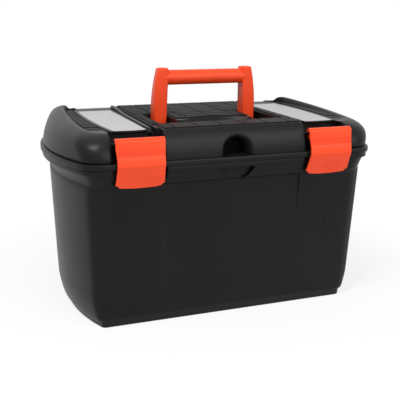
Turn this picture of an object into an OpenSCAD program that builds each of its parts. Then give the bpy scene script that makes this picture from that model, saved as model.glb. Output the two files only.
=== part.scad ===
// Grooming box: a drafted tub with bowed ends, a hinged lid with two small-parts wells under clear
// hatches, a folding carry handle, two front latches and a lift-out tray.
// X runs along the front, Y to the back, Z up. The origin is the middle of the base.

/* [Box] */
// Length over the lid flange, end to end
rim_length = 404; // [398:1:408]
// Depth over the lid flange, front to back
rim_depth = 272; // [270:1:276]
// Height of the split between tub and lid
split_z = 193; // [192:1:195]
// Length of the tub's foot, end to end
base_length = 364; // [358:1:366]
// Depth of the tub's foot
base_depth = 216; // [212:1:220]
// Radius of the bow of the ends, seen from above
end_bow = 295; // [280:5:320]
// Radius of the bow of the ends at the foot
foot_bow = 240; // [230:5:280]
// Wall thickness of the mouldings
wall = 2.8; // [2.4:0.2:3.2]

/* [Tub] */
// Height of the set-back band at the foot
foot_h = 9; // [7:1:12]
// Height of the lower edge of the collar
collar_z = 173; // [171:1:175]
// Half-width of the sunk panel in the front
panel_x = 82.6; // [80:0.2:84]
// Depth of that panel at its upper end
panel_sink = 3; // [1:0.5:3.5]
// How far the end panels stand proud
end_proud = 3.5; // [2:0.5:4]

/* [Lid] */
// Height of the treaded middle
block_z = 233.5; // [233:0.5:235]
// Half-width of the treaded middle
block_x = 88; // [86:1:89]
// Place of the back edge of the treaded middle
block_back = 100; // [96:1:104]
// Height of the ridges at the ends
ridge_z = 238; // [237:0.5:240]
// Height of the deck that the hatches close on
deck_z = 226; // [225:0.5:226.5]
// Floor of the small-parts wells
well_z = 203; // [202:1:208]

/* [Handle] */
// Height of the grip when the handle stands up
grip_z = 278.6; // [274:0.5:282]
// Radius of the grip
grip_r = 8.3; // [7.5:0.1:8.8]
// Height of the handle's pivot
handle_z = 220; // [219:0.5:221]
// Place of the handle's pivot from front to back
handle_y = -12; // [-14:1:-8]

/* [Latches] */
// Width of a latch
latch_w = 54.8; // [53:0.2:56]
// Middle of a latch from the middle of the box
latch_x = 113.5; // [113:0.5:114]
// Height of the latch pivot
latch_z = 218; // [217.5:0.5:219]

/* [Hinges and hatches] */
// Middle of a lid hinge from the middle of the box
hinge_x = 110; // [90:5:130]
// Radius of the bow of a hatch's outer edge
hatch_bow = 600; // [500:50:800]

/* [Hidden] */
$fn = 48;
left = -1;
right = 1;
black = "#1d1e20";
orange = "#f2500f";
clear = "#dfe6e8";
steel = "silver";
over = 40;
corner_n = 8;
end_n = 6;
split_gap = 0.4;
running_gap = 0.05;
press_gap = 0.02;

rim_hx = rim_length / 2;
rim_hy = rim_depth / 2;
foot_hx = base_length / 2;
foot_hy = base_depth / 2;
neck_hx = rim_hx - 16;
neck_hy = rim_hy - 12.5;
foot_r = 15;
neck_r = 18;
rim_r = 30;
panel_z = 57;
panel_slope = 1;
keeper_z = collar_z + 10.4;
keeper_w = 40;
panel_share = 0.85;
tub_top = split_z - split_gap;
tub_flange_z = split_z - 6;
floor_z = 4.6;
tray_z = 131;
rest_wall_y = rim_hy - 18;
tray_top = 188;
rest_x = 125;

flange_h = 6.5;
dome_z = split_z + flange_h - 0.5;
notch_w = latch_w + 3.6;
notch_back = rim_hy - 22;
ledge_z = 221;
bar_x = 96.5;
bar_z = 231.5;
strip_z = 230.5;
ridge_mid_z = 233.3;
ridge_slope = 0.043;
ridge_end = 80;
ridge_fall = 6.2;
ridge_fall_run = 24;
hatch_y = 90;
hatch_axis_z = deck_z + 1.8;
hatch_barrel_r = 2.2;
hatch_pin_r = 1.4;
hatch_front = 103;
hatch_edge = 147.5;
hatch_front_bow = 2.5;
well_in = 99;
well_out = 140;
well_front = 98;
well_back = 85;
slot_in = 48;
slot_out = 76;
slot_front = 72.5 - handle_y;
leg_room = 14;
pocket_w = 9;
platform_front = 47.5 - handle_y;
slot_z = handle_z - 11.6;
arch_r = 20;
arch_z = split_z + 12;
arch_back = rim_hy - 18;
lock_y = rim_hy - 8;
lock_r = 4;

handle_pin_r = 3;
leg_top = grip_z + 11.4;
grip_rake = 5;
latch_y = rim_hy - 15;
latch_pin_r = 2;
latch_barrel_r = 6;
latch_low = 170.5;
pocket_y = rim_hy - 8.4;
hinge_y = rim_hy + 4.5;
hinge_z = split_z;
knuckle_r = 4;
hinge_pin_r = 2;
hinge_half = 14;
lid_knuckle_half = 4.6;

// Plan outlines: a straight front edge, a corner arc and a bowed end, one quarter at a time.
// hx and hy are half sizes, r the corner radius, bow the radius of the end.
function corner_centre(hx, hy, r, bow) =
    [hx - bow + sqrt(pow(bow - r, 2) - pow(hy - r, 2)), r - hy];
function corner_turn(hx, hy, r, bow) =
    let (c = corner_centre(hx, hy, r, bow)) atan2(c.y, c.x - hx + bow);
function corner_arc(hx, hy, r, bow) =
    let (c = corner_centre(hx, hy, r, bow), turn = corner_turn(hx, hy, r, bow))
    [for (i = [0:corner_n]) let (a = -90 + (turn + 90) * i / corner_n) c + r * [cos(a), sin(a)]];
function end_arc(hx, bow, from, first) =
    [for (i = [first:end_n - 1]) let (a = from * (1 - i / end_n)) [hx - bow + bow * cos(a), bow * sin(a)]];
function turned(list) = [for (i = [len(list) - 1:-1:0]) list[i]];
function whole_plan(quarter, end_x) = concat(
    quarter,
    [[end_x, 0]],
    [for (p = turned(quarter)) [p.x, -p.y]],
    [for (p = quarter) [-p.x, -p.y]],
    [[-end_x, 0]],
    [for (p = turned(quarter)) [-p.x, p.y]]);
function plain_plan(hx, hy, r, bow) =
    whole_plan(concat(corner_arc(hx, hy, r, bow), end_arc(hx, bow, corner_turn(hx, hy, r, bow), 1)), hx);
function panelled_plan(hx, hy, r, bow, sink, proud) =
    let (edge = asin(-panel_share * hy / bow))
    whole_plan(concat(
        [[panel_x, sink - hy], [panel_x + panel_slope, -hy]],
        corner_arc(hx, hy, r, bow),
        [[hx - bow + bow * cos(edge), bow * sin(edge)]],
        end_arc(hx + proud, bow + proud, edge, 0.1)), hx + proud);
function at_height(plan, z) = [for (p = plan) [p.x, p.y, z]];

// A solid skinned over rings of equal point counts, closed flat at both ends.
module loft(rings) {
    count = len(rings[0]);
    last = len(rings) - 1;
    caps = [[0, 0, rings[0][0].z], [0, 0, rings[last][0].z]];
    side_faces = [for (k = [0:last - 1], i = [0:count - 1])
        let (j = (i + 1) % count, a = k * count, b = a + count)
        each [[a + i, b + i, b + j], [a + i, b + j, a + j]]];
    low_cap = [for (i = [0:count - 1]) [(last + 1) * count, i, (i + 1) % count]];
    high_cap = [for (i = [0:count - 1])
        [(last + 1) * count + 1, last * count + (i + 1) % count, last * count + i]];
    polyhedron(concat([for (ring = rings) each ring], caps), concat(side_faces, low_cap, high_cap));
}

module x_cylinder(r, x_from, x_to, y, z) {
    translate([x_from, y, z]) rotate([0, 90, 0]) cylinder(r = r, h = x_to - x_from);
}

module block(low, high) {
    translate(low) cube(high - low);
}

// A box given for the right side, on either side of the middle
module side_block(side, low, high) {
    mirror([side < 0 ? 1 : 0, 0, 0]) block(low, high);
}

// Profile in Y and Z, drawn out along X about the middle
module x_extrude(width) {
    rotate([90, 0, 90]) translate([0, 0, -width / 2]) linear_extrude(width) children();
}

// Tub
function up_wall(z, low, high) = low + (high - low) * (z - foot_h) / (collar_z - foot_h);
function sink_at(z) = panel_sink * max(0, (z - panel_z) / (collar_z - panel_z));
function tub_ring(z, hx, hy, r, bow) = at_height(panelled_plan(hx, hy, r, bow, 0, 0), z);
function wall_ring(z, inset) = at_height(panelled_plan(
    up_wall(z, foot_hx, neck_hx) - inset, up_wall(z, foot_hy, neck_hy) - inset,
    up_wall(z, foot_r, neck_r) - inset, up_wall(z, foot_bow, end_bow), sink_at(z), end_proud), z);

module tub_shell() {
    foot_set = 3;
    collar_out = 4;
    ledge = 0.6;
    fillet = 7;
    loft([
        tub_ring(0, foot_hx - foot_set, foot_hy - foot_set, foot_r, foot_bow),
        tub_ring(foot_h, foot_hx - foot_set + 1, foot_hy - foot_set + 1, foot_r, foot_bow),
        wall_ring(foot_h + ledge, 0),
        wall_ring(panel_z, 0),
        wall_ring(collar_z - 2, 0),
        tub_ring(collar_z, neck_hx + collar_out, neck_hy + collar_out, neck_r + 5, end_bow),
        tub_ring(tub_flange_z, rim_hx - 6.5, rim_hy - 5, rim_r - 6, end_bow),
        tub_ring(tub_flange_z, rim_hx - 2, rim_hy - 2, rim_r - 1, end_bow),
        tub_ring(tub_top, rim_hx - 2, rim_hy - 2, rim_r - 1, end_bow),
        wall_ring(tub_top, wall),
        wall_ring(panel_z, wall),
        wall_ring(floor_z + fillet, wall),
        wall_ring(floor_z + fillet / 4, wall + fillet / 4),
        tub_ring(floor_z, foot_hx - wall - fillet, foot_hy - wall - fillet, foot_r, foot_bow)]);
}

module tub_knuckles() {
    for (side = [left, right], end = [left, right]) {
        middle = side * hinge_x + end * (hinge_half + lid_knuckle_half + 0.4) / 2;
        half = (hinge_half - lid_knuckle_half - 0.4) / 2;
        x_cylinder(knuckle_r, middle - half, middle + half, hinge_y, hinge_z);
        block([middle - half, rim_hy - 8, tub_flange_z - 3], [middle + half, hinge_y, tub_top]);
    }
}

// Gussets on the long walls that carry the tray
module tray_rests() {
    rest_w = 6;
    reach = 14;
    draft = 2.5;
    for (x = [-rest_x, rest_x], face = [0, 1])
        translate([x, 0, 0]) mirror([0, face, 0]) x_extrude(rest_w) polygon([
            [-rest_wall_y, tray_z], [reach - rest_wall_y, tray_z],
            [draft - rest_wall_y, tray_z - 2 * reach]]);
}

// Ribs in the pockets behind the latches
module latch_keepers() {
    proud = 1.4;
    for (side = [left, right])
        side_block(side, [latch_x - keeper_w / 2, -pocket_y - proud, keeper_z],
            [latch_x + keeper_w / 2, 3 - pocket_y, keeper_z + 3]);
}

module tub() {
    lock_back = rim_hy - 13;
    color(black) {
        difference() {
            union() {
                tub_shell();
                tub_knuckles();
                tray_rests();
            }
            for (side = [left, right]) {
                side_block(side, [latch_x - notch_w / 2 - 1, -rim_hy - over, collar_z - 8],
                    [latch_x + notch_w / 2 + 1, -pocket_y, split_z + 1]);
                x_cylinder(hinge_pin_r + press_gap, side * hinge_x - over, side * hinge_x + over,
                    hinge_y, hinge_z);
            }
            intersection() {
                translate([0, 0, collar_z + arch_r - 2])
                    rotate([90, 0, 0]) cylinder(r = arch_r, h = rim_hy + over);
                block([-rim_hx, -rim_hy - over, 0], [rim_hx, -lock_back, tub_flange_z]);
            }
            translate([0, -lock_y, tub_flange_z - 1]) cylinder(r = lock_r, h = over);
        }
        latch_keepers();
    }
}

// Tray
module tray() {
    lip = 3;
    tray_wall = 2.2;
    low_x = 174;
    low_y = 110;
    high_x = 178;
    high_y = 114;
    bow = end_bow;
    divider_x = 62;
    grip_height = tray_top + 4;
    function tray_ring(z, hx, hy, inset) =
        at_height(plain_plan(hx - inset, hy - inset, foot_r - inset, bow), z);
    color(black) {
        loft([
            tray_ring(tray_z, low_x, low_y, 0),
            tray_ring(tray_top - lip, high_x, high_y, 0),
            tray_ring(tray_top - lip, high_x + lip, high_y + lip, 0),
            tray_ring(tray_top, high_x + lip, high_y + lip, 0),
            tray_ring(tray_top, high_x, high_y, tray_wall),
            tray_ring(tray_z + tray_wall, low_x, low_y, tray_wall)]);
        for (side = [left, right]) {
            translate([side * divider_x, 0, 0]) x_extrude(2) polygon([
                [1 - low_y, tray_z + 1], [low_y - 1, tray_z + 1],
                [high_y - 2, tray_top - 12], [2 - high_y, tray_top - 12]]);
            side_block(side, [divider_x - 1.5, -16, tray_z + 1], [divider_x + 1.5, 16, grip_height + 7]);
        }
        x_cylinder(6, -divider_x, divider_x, 0, grip_height);
    }
}

// Lid
// The dome climbs a quarter of an ellipse from the flange to the ridge, its ends bowing less on the
// way. Outside the bars the ridges climb to the back, where they round off.
function dome_plan(hx, hy, r, bow) = whole_plan(concat(
    [[bar_x, -hy], [bar_x + 1, -hy]],
    corner_arc(hx, hy, r, bow),
    end_arc(hx, bow, corner_turn(hx, hy, r, bow), 1)), hx);
function ridge_end_drop(y) = ridge_fall * pow(min(1, max(0, (y - ridge_end) / ridge_fall_run)), 2);
function crest_z(y) = ridge_mid_z + ridge_slope * min(y, ridge_end) - ridge_end_drop(y);
function crown_drop(p) = abs(p.x) > bar_x ? ridge_z - crest_z(p.y) : 0;
function dome_ring(plan, rise, height) = [for (p = plan)
    [p.x, p.y, dome_z + rise * (height - crown_drop(p))]];

module dome(inset) {
    skirt_in = 3.5 + inset;
    top_in = [34, 27];
    rise = [for (t = [0:10:90]) let (
        gone = 1 - cos(t),
        hx = rim_hx - skirt_in - (top_in.x - skirt_in) * gone,
        hy = rim_hy - skirt_in - (top_in.y - skirt_in) * gone,
        plan = dome_plan(hx, hy, rim_r - 3 - inset + 7 * gone, end_bow + 185 * gone))
        dome_ring(plan, sin(t), ridge_z - inset - dome_z)];
    foot = [for (p = rise[0]) [p.x, p.y, dome_z - over]];
    loft(inset > 0 ? concat([foot], rise) : rise);
}

module flange() {
    plan = plain_plan(rim_hx, rim_hy, rim_r, end_bow);
    loft([at_height(plan, split_z), at_height(plan, split_z + flange_h)]);
}

// Everything above the top faces: middle, bars, hatch bays, tread strips, front ledges
module top_cuts() {
    high = ridge_z + over;
    block([-block_x, -over - rim_hy, block_z], [block_x, over + rim_hy, high]);
    for (side = [left, right]) {
        side_block(side, [block_x, -over - rim_hy, bar_z], [bar_x, over + rim_hy, high]);
        side_block(side, [block_x, -over - rim_hy, bar_z - 3], [block_x + 1.6, over + rim_hy, high]);
        side_block(side, [bar_x - 1, hatch_y + 3, strip_z - 0.5],
            [latch_x + notch_w / 2, over + rim_hy, high]);
        side_block(side, [block_x, -over - rim_hy, ledge_z], [latch_x + notch_w / 2, 2 - hatch_front, high]);
        side_block(side, [latch_x - notch_w / 2, -over - rim_hy, ledge_z],
            [latch_x + notch_w / 2, 6 - notch_back, high]);
        side_block(side, [bar_x, hatch_y - 4, deck_z], [hatch_edge - 5, hatch_y + 3, high]);
        mirror([side < 0 ? 1 : 0, 0, 0]) {
            difference() {
                translate([0, 0, strip_z])
                    linear_extrude(over) polygon(plain_plan(rim_hx - 37, rim_hy - 27, 30, 500));
                block([-rim_hx, -rim_hy, 0], [bar_x, rim_hy, high + over]);
            }
            translate([0, 0, deck_z]) linear_extrude(over) hatch_plan(0.5, hatch_y + 3, hatch_front + 4);
        }
    }
    above_back_fall(0);
    tread_grooves();
}

// What lies over the fall of the middle to the back
module above_back_fall(out) {
    fall = 26;
    drop = 12;
    x_extrude(2 * (latch_x + notch_w / 2 + out)) polygon([
        [block_back, block_z - out], [block_back + fall, block_z - drop - out],
        [rim_hy, block_z - drop - out],
        [rim_hy, ridge_z + over], [block_back, ridge_z + over]]);
}

// Plan of the right hatch, let out by a gap, with its outer edge bowed
module hatch_plan(gap, back, front) {
    edge_n = 12;
    function edge_x(y) = hatch_edge + gap - hatch_bow + sqrt(pow(hatch_bow, 2) - pow(y, 2));
    inner_x = bar_x + 0.5 - gap;
    polygon(concat(
        [[inner_x, back]],
        [for (i = [0:edge_n]) let (y = back - (back + front) * i / edge_n) [edge_x(y), y]],
        [for (i = [1:edge_n]) let (t = i / edge_n)
            [edge_x(front) + (inner_x - edge_x(front)) * t, -front - 4 * hatch_front_bow * t * (1 - t)]]));
}

module tread_grooves() {
    groove = 1.4;
    brick = 32;
    rows = 5;
    row_pitch = (block_back + platform_front - 12) / rows;
    for (x = [-2 * brick:brick:2 * brick])
        block([x - groove / 2, -platform_front + 12, block_z - 1], [x + groove / 2, rim_hy, block_z + 1]);
    for (row = [0:rows - 1])
        block([-block_x - 1, block_back - row * row_pitch - groove / 2, block_z - 1],
            [block_x + 1, block_back - row * row_pitch + groove / 2, block_z + 1]);
    for (x = [-2.5 * 28:28:2.5 * 28])
        block([x - groove / 2, -rim_hy, block_z - 1], [x + groove / 2, -slot_front, block_z + 1]);
    for (side = [left, right], y = [-84:24:84])
        side_block(side, [hatch_edge - 6, y - groove / 2, strip_z - 1.5],
            [rim_hx - 38, y + groove / 2, strip_z + 1]);
}

// Channel of the folded handle round the platform, let out by a wall
module handle_channel(out) {
    for (side = [left, right]) {
        side_block(side, [slot_in - out, -slot_front - out, slot_z - out],
            [slot_out + out, handle_y + leg_room + out, ridge_z + over]);
        mirror([side < 0 ? 1 : 0, 0, 0]) translate([0, handle_y + leg_room + out, 0]) rotate([90, 0, 0])
            linear_extrude(2 * (leg_room + out)) polygon([[slot_out - 1, handle_z + 4 - out],
                [slot_out + pocket_w + 2 * out, block_z + 1], [slot_out - 1, block_z + 1]]);
    }
    block([-slot_out - out, -slot_front - out, slot_z - out],
        [slot_out + out, -platform_front + out, ridge_z + over]);
    finger_scoop(out);
}

// Hollow for the fingers in the front of the platform: a cone that leans back as it rises
module finger_scoop(out) {
    low_r = 65;
    top_r = 79;
    rise = block_z - slot_z - 6;
    slope = (top_r - low_r) / rise;
    intersection() {
        translate([0, -platform_front - low_r, slot_z + 6 - out])
            cylinder(r1 = low_r + out, r2 = top_r + 1.5 * out + slope * over,
                h = rise + out + over, $fn = 180);
        block([-slot_in, -platform_front - 1, 0], [slot_in, 0, ridge_z]);
    }
}

// Arched recess for the lock in the front of the lid
module arch(out) {
    translate([0, 0, arch_z]) rotate([90, 0, 0]) cylinder(r = arch_r + out, h = rim_hy + over);
    block([-arch_r - out, -rim_hy - over, split_z + flange_h - out], [arch_r + out, 0, arch_z]);
}

// Hollow underside: the inside of the dome, less what hangs down into it
module lid_hollow() {
    difference() {
        dome(wall);
        for (side = [left, right]) {
            side_block(side, [block_x - wall, -over - rim_hy, deck_z - wall],
                [bar_x + 1, over + rim_hy, ridge_z]);
            side_block(side, [block_x - wall, -over - rim_hy, ledge_z - wall],
                [latch_x + notch_w / 2 + wall, wall - hatch_front + 2, ridge_z]);
            side_block(side, [latch_x - notch_w / 2 - wall, -over - rim_hy, ledge_z - wall],
                [block_x, 6 + wall - notch_back, ridge_z]);
            side_block(side, [latch_x - notch_w / 2 - 5, -over - rim_hy, split_z - over],
                [latch_x + notch_w / 2 + 5, wall - notch_back, ridge_z]);
            side_block(side, [bar_x - wall, -well_front - wall, well_z - wall],
                [well_out + wall, well_back + wall, ridge_z]);
            mirror([side < 0 ? 1 : 0, 0, 0]) translate([0, 0, deck_z - wall]) difference() {
                linear_extrude(over) polygon(plain_plan(rim_hx - 37 + wall, rim_hy - 27 + wall, 30, 500));
                block([-rim_hx, -rim_hy, -1], [bar_x, rim_hy, over + 1]);
            }
            side_block(side, [bar_x - wall, hatch_y, deck_z - wall],
                [latch_x + notch_w / 2, over + rim_hy, ridge_z]);
        }
        block([-block_x, -over - rim_hy, block_z - wall], [block_x, over + rim_hy, ridge_z]);
        above_back_fall(wall);
        handle_channel(wall);
        intersection() {
            arch(wall);
            block([-rim_hx, -rim_hy - 5, split_z - over], [rim_hx, wall - arch_back, ridge_z]);
        }
    }
}

module lid_knuckles() {
    for (side = [left, right]) {
        low = side * hinge_x - lid_knuckle_half;
        high = side * hinge_x + lid_knuckle_half;
        x_cylinder(knuckle_r, low, high, hinge_y, hinge_z);
        block([low, rim_hy - 8, split_z + 0.6], [high, hinge_y, split_z + 5]);
    }
}

module lid() {
    color(black) difference() {
        union() {
            flange();
            dome(0);
            lid_knuckles();
        }
        top_cuts();
        lid_hollow();
        handle_channel(0);
        for (side = [left, right]) {
            side_block(side, [latch_x - notch_w / 2, -rim_hy - 1, split_z + flange_h],
                [latch_x + notch_w / 2, -notch_back, ridge_z]);
            side_block(side, [well_in, -well_front, well_z], [well_out, well_back, deck_z + 1]);
            x_cylinder(hinge_pin_r + running_gap, side * hinge_x - over, side * hinge_x + over,
                hinge_y, hinge_z);
            mirror([side < 0 ? 1 : 0, 0, 0]) {
                x_cylinder(latch_pin_r + press_gap, latch_x - notch_w / 2 - 4, latch_x + notch_w / 2 + 4,
                    -latch_y, latch_z);
                x_cylinder(handle_pin_r + press_gap, slot_in - over / 2, slot_out + wall, handle_y, handle_z);
                x_cylinder(hatch_pin_r + running_gap, bar_x - 4, hatch_edge - 1, hatch_y, hatch_axis_z);
                x_cylinder(hatch_barrel_r + 0.4, bar_x, hatch_edge - 6.4, hatch_y, hatch_axis_z);
            }
        }
        intersection() {
            arch(0);
            block([-rim_hx, -rim_hy - 5, split_z + flange_h], [rim_hx, -arch_back, ridge_z]);
        }
        translate([0, -lock_y, split_z - 1]) cylinder(r = lock_r, h = flange_h + 2);
    }
}

// Handle: legs that bow outwards and rake forwards to the grip
module handle() {
    leg_in_low = 51.3;
    leg_in_high = 48.3;
    leg_out = [[66.5, handle_z + 5], [66, handle_z + 25], [64.5, handle_z + 39],
        [62, handle_z + 53], [59.3, leg_top - 3]];
    foot = 11;
    half_deep_low = 11;
    half_deep_high = 8.5;
    chamfer = 2.5;
    top_y = -grip_rake * (leg_top - handle_z) / (grip_z - handle_z);
    color(orange) difference() {
        union() {
            x_cylinder(grip_r, -leg_in_high - 2, leg_in_high + 2, handle_y - grip_rake, grip_z);
            for (side = [left, right]) intersection() {
                mirror([side < 0 ? 1 : 0, 0, 0]) translate([0, handle_y + over, 0]) rotate([90, 0, 0])
                    linear_extrude(2 * over) polygon(concat(
                        [[leg_in_low, handle_z - foot], [leg_out[0].x, handle_z - foot]],
                        leg_out,
                        [[leg_out[4].x - chamfer, leg_top], [leg_in_high, leg_top]]));
                union() {
                    x_cylinder(foot, -over * 2, over * 2, handle_y, handle_z);
                    translate([0, handle_y, 0]) x_extrude(over * 4) polygon([
                        [-half_deep_low, handle_z], [half_deep_low, handle_z],
                        [top_y + half_deep_high, leg_top - chamfer],
                        [top_y + half_deep_high - chamfer, leg_top],
                        [top_y + chamfer - half_deep_high, leg_top],
                        [top_y - half_deep_high, leg_top - chamfer]]);
                }
            }
        }
        x_cylinder(handle_pin_r + running_gap, -over * 2, over * 2, handle_y, handle_z);
    }
}

// The latch before it is dished: waisted plate, cheeks, hood, barrel, catch and finger ridges
module latch_solid(face, back, brow, shoulder, belly, root, catch_y, skin) {
    catch_h = 2.4;
    hood_w = latch_w - 7;
    half = latch_w / 2;
    waist = [[half, latch_low - over], [half - 0.6, split_z - 13], [half - 1.2, split_z + 4],
        [half - 1.2, split_z + 12], [half - 0.4, latch_z - 2], [half, latch_z + 10]];
    intersection() {
        x_extrude(latch_w + 2) polygon(concat(face, back));
        rotate([90, 0, 0]) linear_extrude(2 * rim_hy)
            polygon(concat(waist, [for (q = turned(waist)) [-q.x, q.y]]));
    }
    for (end = [left, right]) translate([end * (hood_w - skin) / 2, 0, 0])
        x_extrude(skin) polygon(concat(brow, [shoulder], root));
    x_extrude(hood_w) polygon(concat([brow[0], brow[3] + [skin, -2]], root));
    x_cylinder(latch_barrel_r, -hood_w / 2, hood_w / 2, -latch_y, latch_z);
    block([-keeper_w / 2, -catch_y - 5, keeper_z - 1 - catch_h],
        [keeper_w / 2, -catch_y, keeper_z - 1]);
    for (t = [0.1:0.16:0.6]) let (p = shoulder + t * (belly - shoulder))
        x_cylinder(0.8, 1.8 - half, half - 1.8, p.x + 0.3, p.y);
}

// Latches: a plate that hangs from its barrel, bows over the rim and tucks in below it
module latch(side) {
    skin = 3;
    shoulder = [-latch_y - 14.5, latch_z - 2];
    belly = [-rim_hy - 6, split_z + 11];
    bend = [-rim_hy - 6.8, split_z + 4];
    tuck = [-rim_hy + 5, latch_low];
    brow = [for (a = [0:22.5:67.5]) [-latch_y - 8.5 - 6 * sin(a), latch_z + 2 + 6.4 * cos(a)]];
    tip = tuck - bend;
    face = concat(brow, [shoulder, belly, bend, tuck + tip / 12]);
    back = [for (p = turned([for (i = [1:len(face) - 1]) face[i]])) p + [skin, 0]];
    root = [[-latch_y, latch_z - 5], [-latch_y, latch_z + 5]];
    outward = [tip.y, -tip.x] / norm(tip);
    dish_r = 120;
    dish_deep = 2.2;
    catch_y = pocket_y + 2;
    dish = tuck + outward * (dish_r - dish_deep);
    lip_r = 130;
    color(orange) translate([side * latch_x, 0, 0]) difference() {
        latch_solid(face, back, brow, shoulder, belly, root, catch_y, skin);
        x_cylinder(latch_pin_r + running_gap, -over, over, -latch_y, latch_z);
        translate([0, dish.x, dish.y]) sphere(r = dish_r, $fn = 160);
        difference() {
            block([-over, -rim_hy - over, latch_low - over], [over, 0, latch_low + 6]);
            translate([0, 0, latch_low + lip_r])
                rotate([90, 0, 0]) cylinder(r = lip_r, h = 2 * rim_hy, $fn = 160);
        }
        for (end = [left, right])
            side_block(end, [latch_w / 2 - 3.5, -rim_hy - over, latch_low - over],
                [over, 0, latch_low + 5]);
    }
}

module hatch(side) {
    skin = 2.2;
    top = deck_z + 4;
    rim = 1.5;
    color(clear, 0.5) mirror([side < 0 ? 1 : 0, 0, 0]) {
        difference() {
            translate([0, 0, deck_z + 0.4]) linear_extrude(top - deck_z - 0.4)
                hatch_plan(0, hatch_y, hatch_front);
            translate([0, 0, deck_z]) linear_extrude(top - deck_z - skin)
                hatch_plan(-rim, hatch_y + over, hatch_front + over);
            x_cylinder(hatch_barrel_r - 0.2, 0, rim_hx, hatch_y, hatch_axis_z);
        }
        x_cylinder(hatch_barrel_r, bar_x + 0.5, hatch_edge - 7, hatch_y, hatch_axis_z);
        x_cylinder(hatch_pin_r, bar_x - 3.6, hatch_edge - 1.5, hatch_y, hatch_axis_z);
    }
}

module hinge_pin(side) {
    color(steel)
        x_cylinder(hinge_pin_r, side * hinge_x - hinge_half, side * hinge_x + hinge_half, hinge_y, hinge_z);
}

module latch_pin(side) {
    half = notch_w / 2 + 3.6;
    color(steel) x_cylinder(latch_pin_r, side * latch_x - half, side * latch_x + half, -latch_y, latch_z);
}

module handle_pin(side) {
    color(steel) mirror([side < 0 ? 1 : 0, 0, 0])
        x_cylinder(handle_pin_r, slot_in - wall, slot_out + wall - 0.4, handle_y, handle_z);
}

tub();
tray();
hinge_pin(left);  // left_hinge_pin
hinge_pin(right);  // right_hinge_pin
lid();
handle_pin(left);  // left_handle_pin
handle_pin(right);  // right_handle_pin
latch_pin(left);  // left_latch_pin
latch_pin(right);  // right_latch_pin
handle();
latch(left);  // left_latch
latch(right);  // right_latch
hatch(left);  // left_hatch
hatch(right);  // right_hatch
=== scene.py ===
"""A carry box for grooming kit: moulded tub and lid, two latches, two hatches and a folding handle."""

import logging
import math
from dataclasses import dataclass, replace
from enum import Enum
from typing import Any, Callable, Sequence

import bmesh
import bpy
from mathutils import Matrix, Vector


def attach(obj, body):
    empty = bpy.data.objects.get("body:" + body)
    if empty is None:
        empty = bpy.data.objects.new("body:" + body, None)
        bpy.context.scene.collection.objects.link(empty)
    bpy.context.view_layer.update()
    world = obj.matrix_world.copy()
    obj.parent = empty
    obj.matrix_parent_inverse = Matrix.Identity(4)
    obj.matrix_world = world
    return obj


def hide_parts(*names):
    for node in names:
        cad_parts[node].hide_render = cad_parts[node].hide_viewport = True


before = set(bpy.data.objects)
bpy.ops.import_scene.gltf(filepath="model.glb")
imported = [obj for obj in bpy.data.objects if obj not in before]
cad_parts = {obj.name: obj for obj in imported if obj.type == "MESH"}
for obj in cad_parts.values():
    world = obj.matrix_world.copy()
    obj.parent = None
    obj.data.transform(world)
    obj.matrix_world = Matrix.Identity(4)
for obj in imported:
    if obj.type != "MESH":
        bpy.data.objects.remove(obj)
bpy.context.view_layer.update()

LOG = logging.getLogger("grooming_box")
MM = 0.001
MERGE = 0.01
FLAT_DEGREES = 0.6
LEAST_CORNER = 2.0

Point = tuple[float, float, float]
Flat = tuple[float, float]
Ring = list[Point]
Rows = tuple[Flat, ...]
Tile = tuple[float, float, float, float]
Colour = tuple[float, float, float, float]


class Axis(Enum):
    """The line along which a profile is drawn out; the profile lies in the other two directions."""

    X = (1, 2, 0)
    Y = (0, 2, 1)
    Z = (0, 1, 2)


class Side(Enum):
    """Left or right of the middle, as the front is seen."""

    LEFT = -1
    RIGHT = 1

    @property
    def word(self) -> str:
        """The word used in names of pieces."""
        return self.name.lower()


class Combine(Enum):
    """What a tool shape does to the shape it meets."""

    CUT = "DIFFERENCE"
    JOIN = "UNION"
    KEEP = "INTERSECT"


class Slot(Enum):
    """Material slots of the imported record."""

    BODY = "body"
    ORANGE = "orange"
    HATCH = "hatch"


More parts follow.
